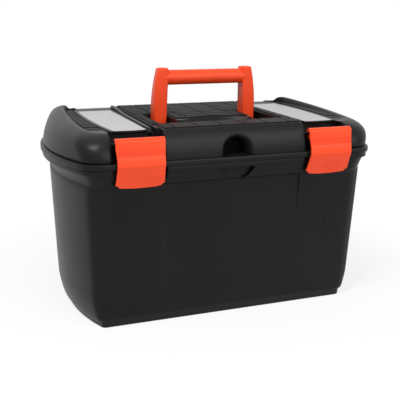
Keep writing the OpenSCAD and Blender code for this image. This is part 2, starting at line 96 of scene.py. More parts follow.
@dataclass(frozen=True)
class Sizes:
    """Sizes that more than one sub-assembly uses, in millimetres."""

    rim_hx: float = 202.0
    rim_hy: float = 136.0
    rim_r: float = 30.0
    end_bow: float = 295.0
    split_z: float = 193.0
    wall: float = 2.8
    flange_top: float = 199.5
    dome_z: float = 199.0
    ridge_z: float = 238.0
    block_z: float = 233.5
    block_x: float = 88.0
    bar_x: float = 96.5
    deck_z: float = 226.0
    ledge_z: float = 221.0
    strip_z: float = 230.5
    latch_x: float = 113.5
    latch_w: float = 54.8
    notch_half: float = 29.2
    notch_back: float = 114.0
    latch_y: float = 121.0
    latch_z: float = 218.0
    handle_y: float = -12.0
    handle_z: float = 220.0
    hatch_y: float = 90.0
    hatch_axis_z: float = 227.8
    hatch_edge: float = 149.1
    hatch_bow: float = 985.0
    hatch_bow_y: float = 40.0
    hatch_front: float = 103.0
    hatch_gap: float = 0.5
    bay_lap: float = 2.0
    bay_room: float = 3.0
    hinge_x: float = 110.0
    hinge_y: float = 140.5
    knuckle_r: float = 4.0
    knuckle_half: float = 4.6
    hinge_half: float = 14.0
    hinge_gap: float = 0.4
    hinge_wrap: float = 0.6
    lock_y: float = 128.0
    lock_r: float = 4.0
    lock_tall: float = 16.0

    @property
    def hatch_in(self) -> float:
        """The inner side of a hatch."""
        return self.bar_x + self.hatch_gap

    @property
    def bay_front(self) -> float:
        """Y of the step in front of a hatch's deck."""
        return self.bay_lap - self.hatch_front

    @property
    def bay_back(self) -> float:
        """Y of the rise behind a hatch's deck."""
        return self.hatch_y + self.bay_room

    @property
    def notch_in(self) -> float:
        """The inner side of a latch notch."""
        return self.latch_x - self.notch_half

    @property
    def notch_out(self) -> float:
        """The outer side of a latch notch."""
        return self.latch_x + self.notch_half

    def hatch_edge_x(self, y: float, gap: float = 0.0) -> float:
        """The bowed outer edge of a hatch at a given Y, let out by a gap."""
        reach = math.sqrt(self.hatch_bow ** 2 - (y - self.hatch_bow_y) ** 2)
        return self.hatch_edge + gap - self.hatch_bow + reach


SIZES = Sizes()


def spaced(start: float, end: float, count: int) -> list[float]:
    """Evenly spaced numbers, both ends included."""
    return [start + (end - start) * i / (count - 1) for i in range(count)]


def lerp(a: float, b: float, t: float) -> float:
    """A number between two others."""
    return a + (b - a) * t


def eased(points: Sequence[Flat], setbacks: Sequence[float], steps: int = 5,
          closed: bool = True) -> list[Flat]:
    """Rounds the corners of a profile.

    Args:
        points: the profile's corners in order.
        setbacks: for each corner, how far back along its sides the rounding starts; 0 keeps it sharp.
        steps: number of segments in each rounded corner.
        closed: whether the last corner joins the first.

    Returns:
        The profile with its corners rounded.
    """
    result: list[Flat] = []
    count = len(points)
    for i, (corner, setback) in enumerate(zip(points, setbacks)):
        if setback <= 0 or (not closed and i in (0, count - 1)):
            result.append(corner)
            continue
        here = Vector(corner)
        start = here + (Vector(points[i - 1]) - here).normalized() * setback
        end = here + (Vector(points[(i + 1) % count]) - here).normalized() * setback
        for k in range(steps + 1):
            t = k / steps
            spot = start * (1 - t) ** 2 + here * (2 * t * (1 - t)) + end * t ** 2
            result.append((spot.x, spot.y))
    return result


def resampled(points: Sequence[Flat], count: int) -> list[Flat]:
    """Points at even distances along a line of points.

    Args:
        points: the line's points.
        count: number of points to return.

    Returns:
        The new points, with both ends kept.
    """
    lengths = [0.0]
    for a, b in zip(points, points[1:]):
        lengths.append(lengths[-1] + math.dist(a, b))
    result: list[Flat] = []
    k = 0
    for want in spaced(0.0, lengths[-1], count):
        while k < len(points) - 2 and lengths[k + 1] < want:
            k += 1
        t = (want - lengths[k]) / (lengths[k + 1] - lengths[k])
        result.append((lerp(points[k][0], points[k + 1][0], t), lerp(points[k][1], points[k + 1][1], t)))
    return result


@dataclass(frozen=True)
class Plan:
    """A plan outline with straight long sides, round corners and bowed ends."""

    hx: float
    hy: float
    r: float
    bow: float

    def inset(self, by: float) -> "Plan":
        """The same outline drawn in on all sides."""
        return Plan(self.hx - by, self.hy - by, max(self.r - by, LEAST_CORNER), self.bow)

    def toward(self, other: "Plan", t: float) -> "Plan":
        """An outline between this one and another."""
        return Plan(lerp(self.hx, other.hx, t), lerp(self.hy, other.hy, t),
                    lerp(self.r, other.r, t), lerp(self.bow, other.bow, t))

    def corner(self) -> tuple[float, float, float]:
        """The front right corner: centre of its arc, and the angle where it meets the bowed end.

        Returns:
            X and Y of the centre, and the angle in radians.
        """
        across = math.sqrt((self.bow - self.r) ** 2 - (self.hy - self.r) ** 2)
        cy = self.r - self.hy
        return self.hx - self.bow + across, cy, math.atan2(cy, across)

    def quarter(self, first: float, corner_n: int, end_n: int) -> list[Flat]:
        """The front right quarter, point by point.

        Args:
            first: the angle on the corner's arc where it starts.
            corner_n: number of points on the arc.
            end_n: number of points on the bowed end.

        Returns:
            Points from the corner to the middle of the right end.
        """
        cx, cy, turn = self.corner()
        points = [(cx + self.r * math.cos(a), cy + self.r * math.sin(a))
                  for a in spaced(first, turn, corner_n)]
        return points + [(self.hx - self.bow + self.bow * math.cos(a), self.bow * math.sin(a))
                         for a in spaced(turn, 0.0, end_n)[1:]]

    def around_end(self, x0: float, count: int) -> list[Flat]:
        """The right end of the outline, cut off at a plane across X.

        Args:
            x0: where the plane stands.
            count: number of points.

        Returns:
            Points from the front cut round the end to the back cut.
        """
        cx = self.corner()[0]
        first = -math.pi / 2 if x0 <= cx else -math.acos((x0 - cx) / self.r)
        front = [(x0, -self.hy)] if x0 < cx else []
        front += self.quarter(first, 40, 60)
        back = [(x, -y) for x, y in reversed(front[:-1])]
        return resampled(front + back, count)

    def whole(self, corner_n: int = 10, end_n: int = 14) -> list[Flat]:
        """The whole outline, counter-clockwise from the front right corner."""
        return mirrored_quarter(self.quarter(-math.pi / 2, corner_n, end_n)[:-1], self.hx)


def mirrored_quarter(quarter: Sequence[Flat], end_x: float) -> list[Flat]:
    """Completes an outline from its front right quarter.

    Args:
        quarter: points from the front to just before the middle of the right end.
        end_x: X at the middle of the right end.

    Returns:
        The closed outline, counter-clockwise.
    """
    back = [(x, -y) for x, y in reversed(quarter)]
    right = list(quarter) + [(end_x, 0.0)] + back
    left = [(-x, y) for x, y in reversed(right)]
    return right + [p for p in left if abs(p[0]) > 1e-6 or p not in right]


def above(z: float) -> Callable[[bmesh.types.BMEdge], bool]:
    """Picks the edges that lie above a height."""
    return lambda edge: all(v.co.z > z for v in edge.verts)


class Shape:
    """A mesh in the making, in millimetres, shaped by bmesh operators."""

    def __init__(self) -> None:
        """Starts with an empty mesh."""
        self.bm = bmesh.new()

    @classmethod
    def box(cls, low: Point, high: Point) -> "Shape":
        """A block between two corners.

        Args:
            low: its lowest corner.
            high: its highest corner.

        Returns:
            The closed solid.
        """
        shape = cls()
        middle = (Vector(low) + Vector(high)) / 2
        size = Vector(high) - Vector(low)
        matrix = Matrix.Translation(middle) @ Matrix.Diagonal((*size, 1.0))
        bmesh.ops.create_cube(shape.bm, size=1.0, matrix=matrix)
        return shape

    @classmethod
    def rod(cls, radius: float, low_x: float, high_x: float, y: float, z: float,
            segments: int = 40) -> "Shape":
        """A round bar along X."""
        matrix = Matrix.Translation(((low_x + high_x) / 2, y, z)) @ Matrix.Rotation(math.pi / 2, 4, "Y")
        return cls.cone(radius, radius, high_x - low_x, matrix, segments)

    @classmethod
    def cone(cls, low_r: float, high_r: float, depth: float, matrix: Matrix, segments: int = 40) -> "Shape":
        """A cut-off cone or a round bar, upright unless the matrix turns it.

        Args:
            low_r: radius at the foot.
            high_r: radius at the top.
            depth: length from foot to top.
            matrix: place and turn of its middle.
            segments: number of flat sides.

        Returns:
            The closed solid.
        """
        shape = cls()
        bmesh.ops.create_cone(shape.bm, cap_ends=True, segments=segments, radius1=low_r, radius2=high_r,
                              depth=depth, matrix=matrix)
        return shape

    @classmethod
    def prism(cls, outline: Sequence[Flat], low: float, high: float, axis: Axis) -> "Shape":
        """A profile drawn out along an axis.

        Args:
            outline: the profile's corners, in the two directions across the axis.
            low: where the prism starts along the axis.
            high: where it ends.
            axis: the direction it is drawn out in.

        Returns:
            The closed solid.
        """
        shape = cls()
        u, v, w = axis.value
        verts = []
        for p in outline:
            spot = [0.0, 0.0, 0.0]
            spot[u], spot[v], spot[w] = p[0], p[1], low
            verts.append(shape.bm.verts.new(spot))
        face = shape.bm.faces.new(verts)
        made = bmesh.ops.extrude_face_region(shape.bm, geom=[face], use_keep_orig=True)
        moved = [g for g in made["geom"] if isinstance(g, bmesh.types.BMVert)]
        shift = [0.0, 0.0, 0.0]
        shift[w] = high - low
        bmesh.ops.translate(shape.bm, vec=shift, verts=moved)
        return shape.outward()

    @classmethod
    def loft(cls, rings: Sequence[Ring], closed: bool = True, endless: bool = False) -> "Shape":
        """A skin over lines of points.

        Args:
            rings: lines with the same number of points.
            closed: whether each line runs back to its start; the first and the last are then filled.
            endless: whether the last line joins the first, with nothing filled.

        Returns:
            The skinned shape.
        """
        shape = cls()
        bm = shape.bm
        verts = [bm.verts.new(p) for p in rings[0]]
        edges = [bm.edges.new(pair) for pair in zip(verts, verts[1:])]
        if closed:
            edges.append(bm.edges.new((verts[-1], verts[0])))
        first = list(edges)
        for ring in rings[1:]:
            made = bmesh.ops.extrude_edge_only(bm, edges=edges)["geom"]
            fresh = {g for g in made if isinstance(g, bmesh.types.BMVert)}
            verts = [next(e.other_vert(v) for e in v.link_edges if e.other_vert(v) in fresh) for v in verts]
            edges = [g for g in made if isinstance(g, bmesh.types.BMEdge)
                     and all(v in fresh for v in g.verts)]
            for vert, spot in zip(verts, ring):
                vert.co = spot
        if endless:
            bmesh.ops.bridge_loops(bm, edges=first + edges)
        elif closed:
            bmesh.ops.contextual_create(bm, geom=first)
            bmesh.ops.contextual_create(bm, geom=edges)
        return shape.outward() if closed else shape

    def outward(self) -> "Shape":
        """Turns all faces outwards."""
        bmesh.ops.recalc_face_normals(self.bm, faces=self.bm.faces[:])
        return self

    def mirrored(self) -> "Shape":
        """Puts the shape on the other side of the middle.

        Returns:
            This shape.
        """
        bmesh.ops.scale(self.bm, vec=(-1.0, 1.0, 1.0), verts=self.bm.verts[:])
        bmesh.ops.reverse_faces(self.bm, faces=self.bm.faces[:])
        return self

    def on(self, side: Side) -> "Shape":
        """A shape drawn for the right side, on either side."""
        return self.mirrored() if side is Side.LEFT else self

    def moved(self, x: float) -> "Shape":
        """Shifts the shape along X."""
        bmesh.ops.translate(self.bm, vec=(x, 0.0, 0.0), verts=self.bm.verts[:])
        return self

    def beside(self, *others: "Shape") -> "Shape":
        """Takes other shapes into the same mesh as they are.

        Args:
            others: the shapes, which are used up.

        Returns:
            This shape.
        """
        for other in others:
            mesh = bpy.data.meshes.new("passing")
            other.bm.to_mesh(mesh)
            other.bm.free()
            self.bm.from_mesh(mesh)
            bpy.data.meshes.remove(mesh)
        return self

    def _lent(self) -> bpy.types.Object:
        """A passing object with this mesh.

        Returns:
            The object, linked to the scene.
        """
        mesh = bpy.data.meshes.new("passing")
        self.bm.to_mesh(mesh)
        thing = bpy.data.objects.new("passing", mesh)
        bpy.context.scene.collection.objects.link(thing)
        return thing

    def combine(self, how: Combine, *tools: "Shape") -> "Shape":
        """Cuts, joins or trims this shape by other closed shapes, which are used up.

        Args:
            how: what each tool does.
            tools: the closed shapes.

        Returns:
            This shape.
        """
        for tool in tools:
            base, other = self._lent(), tool._lent()
            step = base.modifiers.new("step", "BOOLEAN")
            step.operation, step.solver, step.object = how.value, "EXACT", other
            graph = bpy.context.evaluated_depsgraph_get()
            mesh = bpy.data.meshes.new_from_object(base.evaluated_get(graph))
            self.bm.clear()
            self.bm.from_mesh(mesh)
            for thing in (base, other):
                data = thing.data
                bpy.data.objects.remove(thing)
                bpy.data.meshes.remove(data)
            bpy.data.meshes.remove(mesh)
            tool.bm.free()
        return self

    def cleaned(self) -> "Shape":
        """Merges doubles and dissolves points that shape nothing.

        Returns:
            This shape.
        """
        bmesh.ops.remove_doubles(self.bm, verts=self.bm.verts[:], dist=MERGE)
        bmesh.ops.dissolve_limit(self.bm, angle_limit=math.radians(FLAT_DEGREES), verts=self.bm.verts[:],
                                 edges=self.bm.edges[:], use_dissolve_boundaries=False)
        return self

    def soften(self, width: float, segments: int = 3, angle: float = 35.0,
               where: Callable[[bmesh.types.BMEdge], bool] | None = None) -> "Shape":
        """Rounds the edges that are sharper than an angle.

        Args:
            width: how far back the rounding starts.
            segments: segments of each rounding.
            angle: the least angle between two faces, in degrees.
            where: picks edges, all of them if left out.

        Returns:
            This shape.
        """
        edges = [e for e in self.bm.edges if len(e.link_faces) == 2
                 and math.degrees(e.calc_face_angle(0.0)) > angle and (where is None or where(e))]
        bmesh.ops.bevel(self.bm, geom=edges, offset=width, offset_type="OFFSET", segments=segments,
                        profile=0.5, affect="EDGES", clamp_overlap=False, material=-1)
        return self

    def placed(self, name: str, body: str, finish: bpy.types.Material, slot: Slot, node: str | None = None,
               crease: float = 35.0, weighted: bool = False) -> bpy.types.Object:
        """Makes the finished piece.

        Args:
            name: the piece's name.
            body: the body that it rides on.
            finish: its material.
            slot: the record's slot for that material; not used.
            node: the CAD node that it stands for, if any.
            crease: angle in degrees over which an edge shows as sharp.
            weighted: whether large flat faces keep their own normals.

        Returns:
            The piece, in metres.
        """
        bmesh.ops.scale(self.bm, vec=(MM, MM, MM), verts=self.bm.verts[:])
        for face in self.bm.faces:
            face.smooth = True
        mesh = bpy.data.meshes.new(name)
        self.bm.to_mesh(mesh)
        self.bm.free()
        mesh.set_sharp_from_angle(angle=math.radians(crease))
        mesh.materials.append(finish)
        piece = bpy.data.objects.new(name, mesh)
        bpy.context.scene.collection.objects.link(piece)
        if weighted:
            piece.modifiers.new("flat_faces", "WEIGHTED_NORMAL").keep_sharp = True
        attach(piece, body)
        if node is not None:
            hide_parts(node)
        LOG.info("%s on %s: %d faces", name, body, len(mesh.polygons))
        return piece


class Wire:
    """A socket of a shader graph; sums and products on it add Math nodes."""

    def __init__(self, graph: "Graph", socket: bpy.types.NodeSocket | None) -> None:
        """Holds a socket and the graph that it is in."""
        self.graph = graph
        self.socket = socket

    def _math(self, operation: str, a: Any, b: Any) -> "Wire":
        """A Math node on two values."""
        return self.graph.add("ShaderNodeMath", {"operation": operation}, {0: a, 1: b})

    def __add__(self, other: Any) -> "Wire":
        """Sum."""
        return self._math("ADD", self, other)

    def __sub__(self, other: Any) -> "Wire":
        """Difference."""
        return self._math("SUBTRACT", self, other)

    def __mul__(self, other: Any) -> "Wire":
        """Product."""
        return self._math("MULTIPLY", self, other)

    def or_more(self, other: Any) -> "Wire":
        """The greater of two values."""
        return self._math("MAXIMUM", self, other)


class Graph:
    """The node tree of one material or of the world."""

    def __init__(self, owner: bpy.types.Material | bpy.types.World) -> None:
        """Starts with an empty tree.

        Args:
            owner: the material or world that the tree belongs to.
        """
        owner.use_nodes = True
        self.owner = owner
        self.tree = owner.node_tree
        self.tree.nodes.clear()

    @classmethod
    def of_material(cls, name: str) -> "Graph":
        """The graph of a new material."""
        return cls(bpy.data.materials.new(name))

    def add(self, kind: str, settings: dict[str, Any] | None = None,
            inputs: dict[Any, Any] | None = None, output: Any = 0) -> Wire:
        """Adds a node.

        Args:
            kind: the node's type.
            settings: its settings; "stops" gives a ramp's places and colours.
            inputs: values or wires by socket name or number.
            output: the socket to return, none for a node that ends the graph.

        Returns:
            The chosen output.
        """
        node = self.tree.nodes.new(kind)
        for key, value in (settings or {}).items():
            if key == "stops":
                ramp = node.color_ramp
                while len(ramp.elements) < len(value):
                    ramp.elements.new(1.0)
                for element, (place, colour) in zip(ramp.elements, value):
                    element.position, element.color = place, colour
            else:
                setattr(node, key, value)
        for key, value in (inputs or {}).items():
            if isinstance(value, Wire):
                self.tree.links.new(value.socket, node.inputs[key])
            else:
                node.inputs[key].default_value = value
        return Wire(self, node.outputs[output] if output is not None else None)

    def place(self, scale: Point = (1.0, 1.0, 1.0), turn: Point = (0.0, 0.0, 0.0)) -> Wire:
        """Object coordinates, scaled and turned."""
        spot = self.add("ShaderNodeTexCoord", output="Object")
        return self.add("ShaderNodeMapping", {}, {"Vector": spot, "Scale": scale, "Rotation": turn})

    def noise(self, where: Wire, scale: float, detail: float = 3.0, rough: float = 0.5) -> Wire:
        """Soft noise between 0 and 1."""
        return self.add("ShaderNodeTexNoise", {}, {"Vector": where, "Scale": scale, "Detail": detail,
                                                   "Roughness": rough})

    def between(self, value: Wire, low: float, high: float, to_low: float, to_high: float) -> Wire:
        """Maps a range of values to another, held at its ends."""
        return self.add("ShaderNodeMapRange", {"clamp": True},
                        {0: value, 1: low, 2: high, 3: to_low, 4: to_high})

    def blend(self, share: Wire, a: Any, b: Any) -> Wire:
        """A colour between two others."""
        return self.add("ShaderNodeMix", {"data_type": "RGBA"}, {0: share, 6: a, 7: b}, output=2)

    def bump(self, height: Wire, strength: float, distance: float, under: Wire | None = None) -> Wire:
        """A bumped normal.

        Args:
            height: what is raised.
            strength: how strongly it shows.
            distance: how high it is, in metres.
            under: a normal to build on, if any.

        Returns:
            The new normal.
        """
        inputs: dict[Any, Any] = {"Height": height, "Strength": strength, "Distance": distance}
        if under is not None:
            inputs["Normal"] = under
        return self.add("ShaderNodeBump", {}, inputs)

    def seen(self) -> Wire:
        """Tells what the camera sees, straight or in a gloss or through a clear piece.

        Returns:
            1 for that, 0 for all else.
        """
        camera, gloss, clear = (self.add("ShaderNodeLightPath", output=f"Is {kind} Ray")
                                for kind in ("Camera", "Glossy", "Transmission"))
        return camera.or_more(gloss).or_more(clear)

    def surface(self, inputs: dict[Any, Any]) -> bpy.types.Material:
        """Ends the graph in a Principled shader."""
        return self.ended(self.add("ShaderNodeBsdfPrincipled", {}, inputs, output="BSDF"))

    def ended(self, shader: Wire, output: str = "ShaderNodeOutputMaterial") -> Any:
        """Ends the graph in a given shader and returns the graph's owner."""
        self.add(output, {}, {"Surface": shader}, output=None)
        return self.owner


@dataclass(frozen=True)
class MouldedPlastic:
    """Injection-moulded plastic with a fine spark-eroded grain and a slightly uneven gloss."""

    name: str
    dark: Colour
    light: Colour
    gloss_low: float
    gloss_high: float
    grain: float
    grain_scale: float
    scuff: float
    specular: float
    broad_scale: float = 9.0
    flow_scale: Point = (55.0, 55.0, 6.0)
    rub_scale: Point = (30.0, 160.0, 160.0)
    rub_turn: Point = (0.0, 0.5, 0.35)

    def material(self) -> bpy.types.Material:
        """Makes the finish.

        Returns:
            The new material.
        """
        graph = Graph.of_material(self.name)
        spot = graph.place()
        broad = graph.noise(spot, self.broad_scale, 4.0, 0.55)
        fine = graph.noise(spot, self.grain_scale, 2.0, 0.6)
        flow = graph.noise(graph.place(self.flow_scale), 1.0, 4.0, 0.6)
        rub = graph.noise(graph.place(self.rub_scale, self.rub_turn), 1.0, 2.0, 0.4)
        tone = graph.between(broad * 0.55 + flow * 0.3 + fine * 0.15, 0.35, 0.65, 0.0, 1.0)
        colour = graph.blend(tone, self.dark, self.light)
        streak = graph.between(rub, 0.66, 0.78, 0.0, self.scuff)
        rough = graph.between(broad * 0.6 + fine * 0.4, 0.3, 0.7, self.gloss_low, self.gloss_high) - streak
        normal = graph.bump(fine, self.grain, 0.0002, graph.bump(broad, 0.04, 0.002))
        return graph.surface({"Base Color": colour, "Roughness": rough, "Normal": normal,
                              "Specular IOR Level": self.specular})


@dataclass(frozen=True)
class FrostedPanel:
    """Milky see-through plastic, satin on top, with a faint moulded grid and a cloudy body."""

    name: str
    clear: Colour
    milky: Colour
    grid: float
    groove: float = 0.0006
    cloud_scale: float = 22.0
    fine_scale: float = 1400.0

    def material(self) -> bpy.types.Material:
        """Makes the finish.

        Returns:
            The new material.
        """
        graph = Graph.of_material(self.name)
        spot = graph.place()
        cloud = graph.noise(spot, self.cloud_scale, 5.0, 0.55)
        fine = graph.noise(spot, self.fine_scale, 2.0, 0.5)
        bricks = graph.add("ShaderNodeTexBrick", {"offset": 0.0},
                           {"Vector": spot, "Scale": 1.0, "Mortar Size": self.groove, "Mortar Smooth": 0.6,
                            "Brick Width": self.grid, "Row Height": self.grid}, output="Fac")
        colour = graph.blend(graph.between(cloud * 0.8 + bricks * 0.25, 0.3, 0.75, 0.0, 1.0),
                             self.clear, self.milky)
        rough = graph.between(cloud + fine * 0.5, 0.4, 1.1, 0.28, 0.42)
        normal = graph.bump(fine, 0.08, 0.0002, graph.bump(bricks, 0.25, 0.0004))
        return graph.surface({"Base Color": colour, "Roughness": rough, "Normal": normal,
                              "Transmission Weight": 0.12, "IOR": 1.49})


@dataclass(frozen=True)
class DrawnSteel:
    """Blackened drawn wire: fine lines along the pin and a dull shine."""

    name: str
    base: Colour
    worn: Colour
    line_scale: Point = (20.0, 2600.0, 2600.0)
    spot_scale: float = 300.0

    def material(self) -> bpy.types.Material:
        """Makes the finish.

        Returns:
            The new material.
        """
        graph = Graph.of_material(self.name)
        lines = graph.noise(graph.place(self.line_scale), 1.0, 3.0, 0.6)
        spots = graph.noise(graph.place(), self.spot_scale, 4.0, 0.6)
        colour = graph.blend(graph.between(spots, 0.4, 0.7, 0.0, 1.0), self.base, self.worn)
        rough = graph.between(lines * 0.6 + spots * 0.4, 0.3, 0.7, 0.22, 0.42)
        return graph.surface({"Base Color": colour, "Roughness": rough, "Metallic": 1.0,
                              "Normal": graph.bump(lines, 0.15, 0.0001)})


@dataclass(frozen=True)
class Finishes:
    """All finishes of the box, made once."""

    black: bpy.types.Material
    tread: bpy.types.Material
    inside: bpy.types.Material
    orange: bpy.types.Material
    hatch: bpy.types.Material
    steel: bpy.types.Material

    @classmethod
    def made(cls) -> "Finishes":
        """Makes the materials.

        Returns:
            The finishes by name.
        """
        black = MouldedPlastic("black_polypropylene", dark=(0.0042, 0.0042, 0.0045, 1.0),
                               light=(0.0068, 0.0066, 0.0065, 1.0), gloss_low=0.33, gloss_high=0.45,
                               grain=0.16, grain_scale=1500.0, scuff=0.06, specular=0.16)
        orange = MouldedPlastic("orange_polypropylene", dark=(0.77, 0.053, 0.010, 1.0),
                                light=(0.83, 0.067, 0.014, 1.0), gloss_low=0.34, gloss_high=0.46, grain=0.08,
                                grain_scale=1800.0, scuff=0.04, specular=0.25)
        return cls(
            black=black.material(),
            tread=replace(black, name="black_tread", gloss_low=0.55, gloss_high=0.7, grain=0.5,
                          grain_scale=900.0).material(),
            inside=replace(black, name="black_inside", gloss_low=0.48, gloss_high=0.62,
                           grain=0.24).material(),
            orange=orange.material(),
            hatch=FrostedPanel("frosted_panel", clear=(0.40, 0.40, 0.40, 1.0), milky=(0.50, 0.50, 0.495, 1.0),
                               grid=0.0062).material(),
            steel=DrawnSteel("drawn_steel", base=(0.022, 0.022, 0.023, 1.0),
                             worn=(0.012, 0.012, 0.012, 1.0)).material(),
        )


def at_height(outline: Sequence[Flat], z: float) -> Ring:
    """A plan outline laid at a height."""
    return [(x, y, z) for x, y in outline]


def lock_eye(z: float) -> Shape:
    """The upright bore of the lock eye, with its middle at a height."""
    middle = Matrix.Translation((0.0, -SIZES.lock_y, z))
    return Shape.cone(SIZES.lock_r, SIZES.lock_r, SIZES.lock_tall, middle)


def knuckle(before: Rows, after: Rows, turn: int, middle: float, half: float, edge: float) -> Shape:
    """A hinge knuckle with its arm.

    Args:
        before: the arm's outline in Y and Z, up to the arc round the pin.
        after: the outline from the arc on.
        turn: 1 where the arc runs upwards, -1 where it runs downwards.
        middle: X of the knuckle's middle.
        half: half of its length.
        edge: rounding of its edges.

    Returns:
        The closed solid.
    """
    y, z, r = SIZES.hinge_y, SIZES.split_z, SIZES.knuckle_r
    arc = [(y + r * math.cos(a), z + r * math.sin(a))
           for a in spaced(-turn * math.pi / 2, turn * (math.pi / 2 + SIZES.hinge_wrap), 16)]
    return Shape.prism([*before, *arc, *after], middle - half, middle + half, Axis.X).soften(edge, 2, 50.0)


@dataclass
class Tub:
    """The open tub: foot, tapered walls with sunk front and raised end panels, collar and rim.

    Its tables of rows give, level by level, a height and how far the outline is drawn in there. step_rows and
    flare_rows give a height and how much of the way to the next outline is done. panel_edge gives a distance
    from panel_x and how much of the panel's depth is reached there.
    """

    # outlines from the foot up
    foot: Plan = Plan(182.0, 108.0, 10.0, 240.0)
    neck: Plan = Plan(186.0, 123.5, 17.0, 295.0)
    collar: Plan = Plan(190.0, 127.5, 22.0, 295.0)
    throat: Plan = Plan(195.5, 131.0, 24.0, 295.0)
    rim: Plan = Plan(200.0, 134.0, 29.0, 295.0)
    # levels
    foot_rows: Rows = ((0.0, 4.6), (0.35, 3.6), (1.3, 3.0), (8.5, 2.1), (9.0, 1.7))
    wall_rows: Rows = ((9.2, 1.2), (9.5, 0.4)) + tuple((z, 0.0) for z in (
        10.3, 13.0, 17.0, 24.0, 32.0, 42.0, 57.0, 75.0, 95.0, 115.0, 135.0, 152.0, 165.0, 170.6))
    step_rows: Rows = ((171.2, 0.12), (171.9, 0.5), (172.5, 0.86), (173.1, 1.0))
    flare_rows: Rows = ((175.0, 0.1), (177.5, 0.27), (180.5, 0.5), (183.5, 0.74), (186.1, 0.95), (186.7, 1.0))
    rim_rows: Rows = ((187.0, 0.7), (187.2, 0.2), (187.7, 0.0), (191.8, 0.0), (192.35, 0.2), (192.6, 0.8))
    inner_rows: Rows = ((192.6, 2.1), (192.3, 2.65), *((z, SIZES.wall) for z in (
        191.6, 171.0, 140.0, 100.0, 57.0, 30.0, 11.6)), (8.6, 3.4), (6.2, 5.2), (5.0, 7.6))
    foot_h: float = 9.0
    collar_z: float = 173.0
    flange_z: float = 187.0
    floor_z: float = 4.6
    floor_in: float = 13.0
    # front panel
    front_xs: tuple[float, ...] = (34.0, 58.0)
    panel_x: float = 82.6
    panel_edge: Rows = ((-1.2, 1.0), (-0.1, 0.85), (0.8, 0.15), (1.9, 0.0))
    panel_z: float = 57.0
    panel_sink: float = 3.0
    # end panels
    end_proud: float = 6.0
    proud_from: float = 8.0
    proud_run: float = 24.0
    crease_turn: float = 0.42
    crease_half: float = 0.02
    crease_run: float = 0.08
    crease_share: float = 0.86
    # latch pockets and lock recess
    pocket_y: float = 127.6
    pocket_xs: tuple[float, ...] = (100.0, 127.0, 143.1, 143.9)
    pocket_ends: Flat = (83.2, 143.5)
    lock_back: float = 123.0
    lock_round: float = 22.5
    lock_drop: float = 2.0
    lock_least: float = 2.0
    plain_half: float = 12.0
    eye_z: float = 191.0
    # hinge arms, tray rests and latch keepers
    arm_low: Rows = ((129.0, 184.0), (136.0, 184.0))
    arm_high: Rows = ((136.4, 192.4), (129.0, 192.4))
    rest_x: float = 125.0
    rest_half: float = 3.0
    rest_wall_y: float = 118.0
    rest_deep: float = 14.0
    rest_toe: float = 2.5
    rest_tall: float = 28.0
    tray_z: float = 131.0
    keeper_w: float = 40.0
    keeper_z: float = 183.4
    keeper_out: float = 1.4
    keeper_tall: float = 3.0

    def wall_plan(self, z: float, inset: float = 0.0) -> Plan:
        """The wall's outline at a height."""
        return self.foot.toward(self.neck, (z - self.foot_h) / (self.collar_z - self.foot_h)).inset(inset)

    def proud_at(self, z: float) -> float:
        """How far the ends' panels stand out at a height: rounded off towards the foot."""
        return self.end_proud * math.sqrt(min(1.0, max(0.0, (z - self.proud_from) / self.proud_run)))

    def sink_at(self, z: float) -> float:
        """How far the front panel is sunk at a height."""
        return self.panel_sink * max(0.0, (z - self.panel_z) / (self.collar_z - self.panel_z))

    def lock_half(self, z: float) -> float:
        """Half the width of the round lock recess at a height."""
        rise = z - (self.collar_z + self.lock_round - self.lock_drop)
        return math.sqrt(max(self.lock_round ** 2 - rise ** 2, self.lock_least ** 2))

    def ring(self, z: float, plan: Plan, sink: float = 0.0, proud: float = 0.0,
             outer: bool = True, recess: bool = False) -> Ring:
        """One level of the tub's wall.

        Args:
            z: height of the level.
            plan: outline without panels.
            sink: how far the long sides' panels are sunk.
            proud: how far the ends' panels stand out.
            outer: whether the latch pockets are cut into it.
            recess: whether the lock recess is cut into it.

        Returns:
            The level's points, counter-clockwise.
        """
        half = self.lock_half(z) if recess else self.plain_half
        steps = [(x, 1.0) for x in (0.0, half * 0.5, half - 0.5, half + 0.5, *self.front_xs)]
        steps += [(self.panel_x + off, share) for off, share in self.panel_edge]
        steps += [(x, 0.0) for x in self.pocket_xs]
        cx, cy, turn = plan.corner()
        edge = turn - self.crease_turn
        corner = [(a, self.crease_share) for a in spaced(-math.pi / 2, edge - self.crease_half, 10)]
        corner.append((edge + self.crease_half, 0.97))
        corner += [(a, 1.0) for a in spaced(edge + self.crease_run, turn, 4)]
        quarter = [(x, sink * share - plan.hy) for x, share in steps]
        quarter += [(cx + (plan.r + proud * share) * math.cos(a), cy + plan.r * math.sin(a))
                    for a, share in corner]
        proud_end = proud * math.cos(turn)
        quarter += [(plan.hx - plan.bow + plan.bow * math.cos(a) + lerp(proud, proud_end, a / turn),
                     plan.bow * math.sin(a)) for a in spaced(turn, 0.0, 17)[1:-1]]
        outline = mirrored_quarter(quarter, plan.hx + proud)
        result: Ring = []
        for x, y in outline:
            if outer and y < -self.pocket_y and self.pocket_ends[0] < abs(x) < self.pocket_ends[1]:
                y = -self.pocket_y
            if recess and y < -self.lock_back and abs(x) < half:
                y = -self.lock_back
            result.append((x, y, z))
        return result

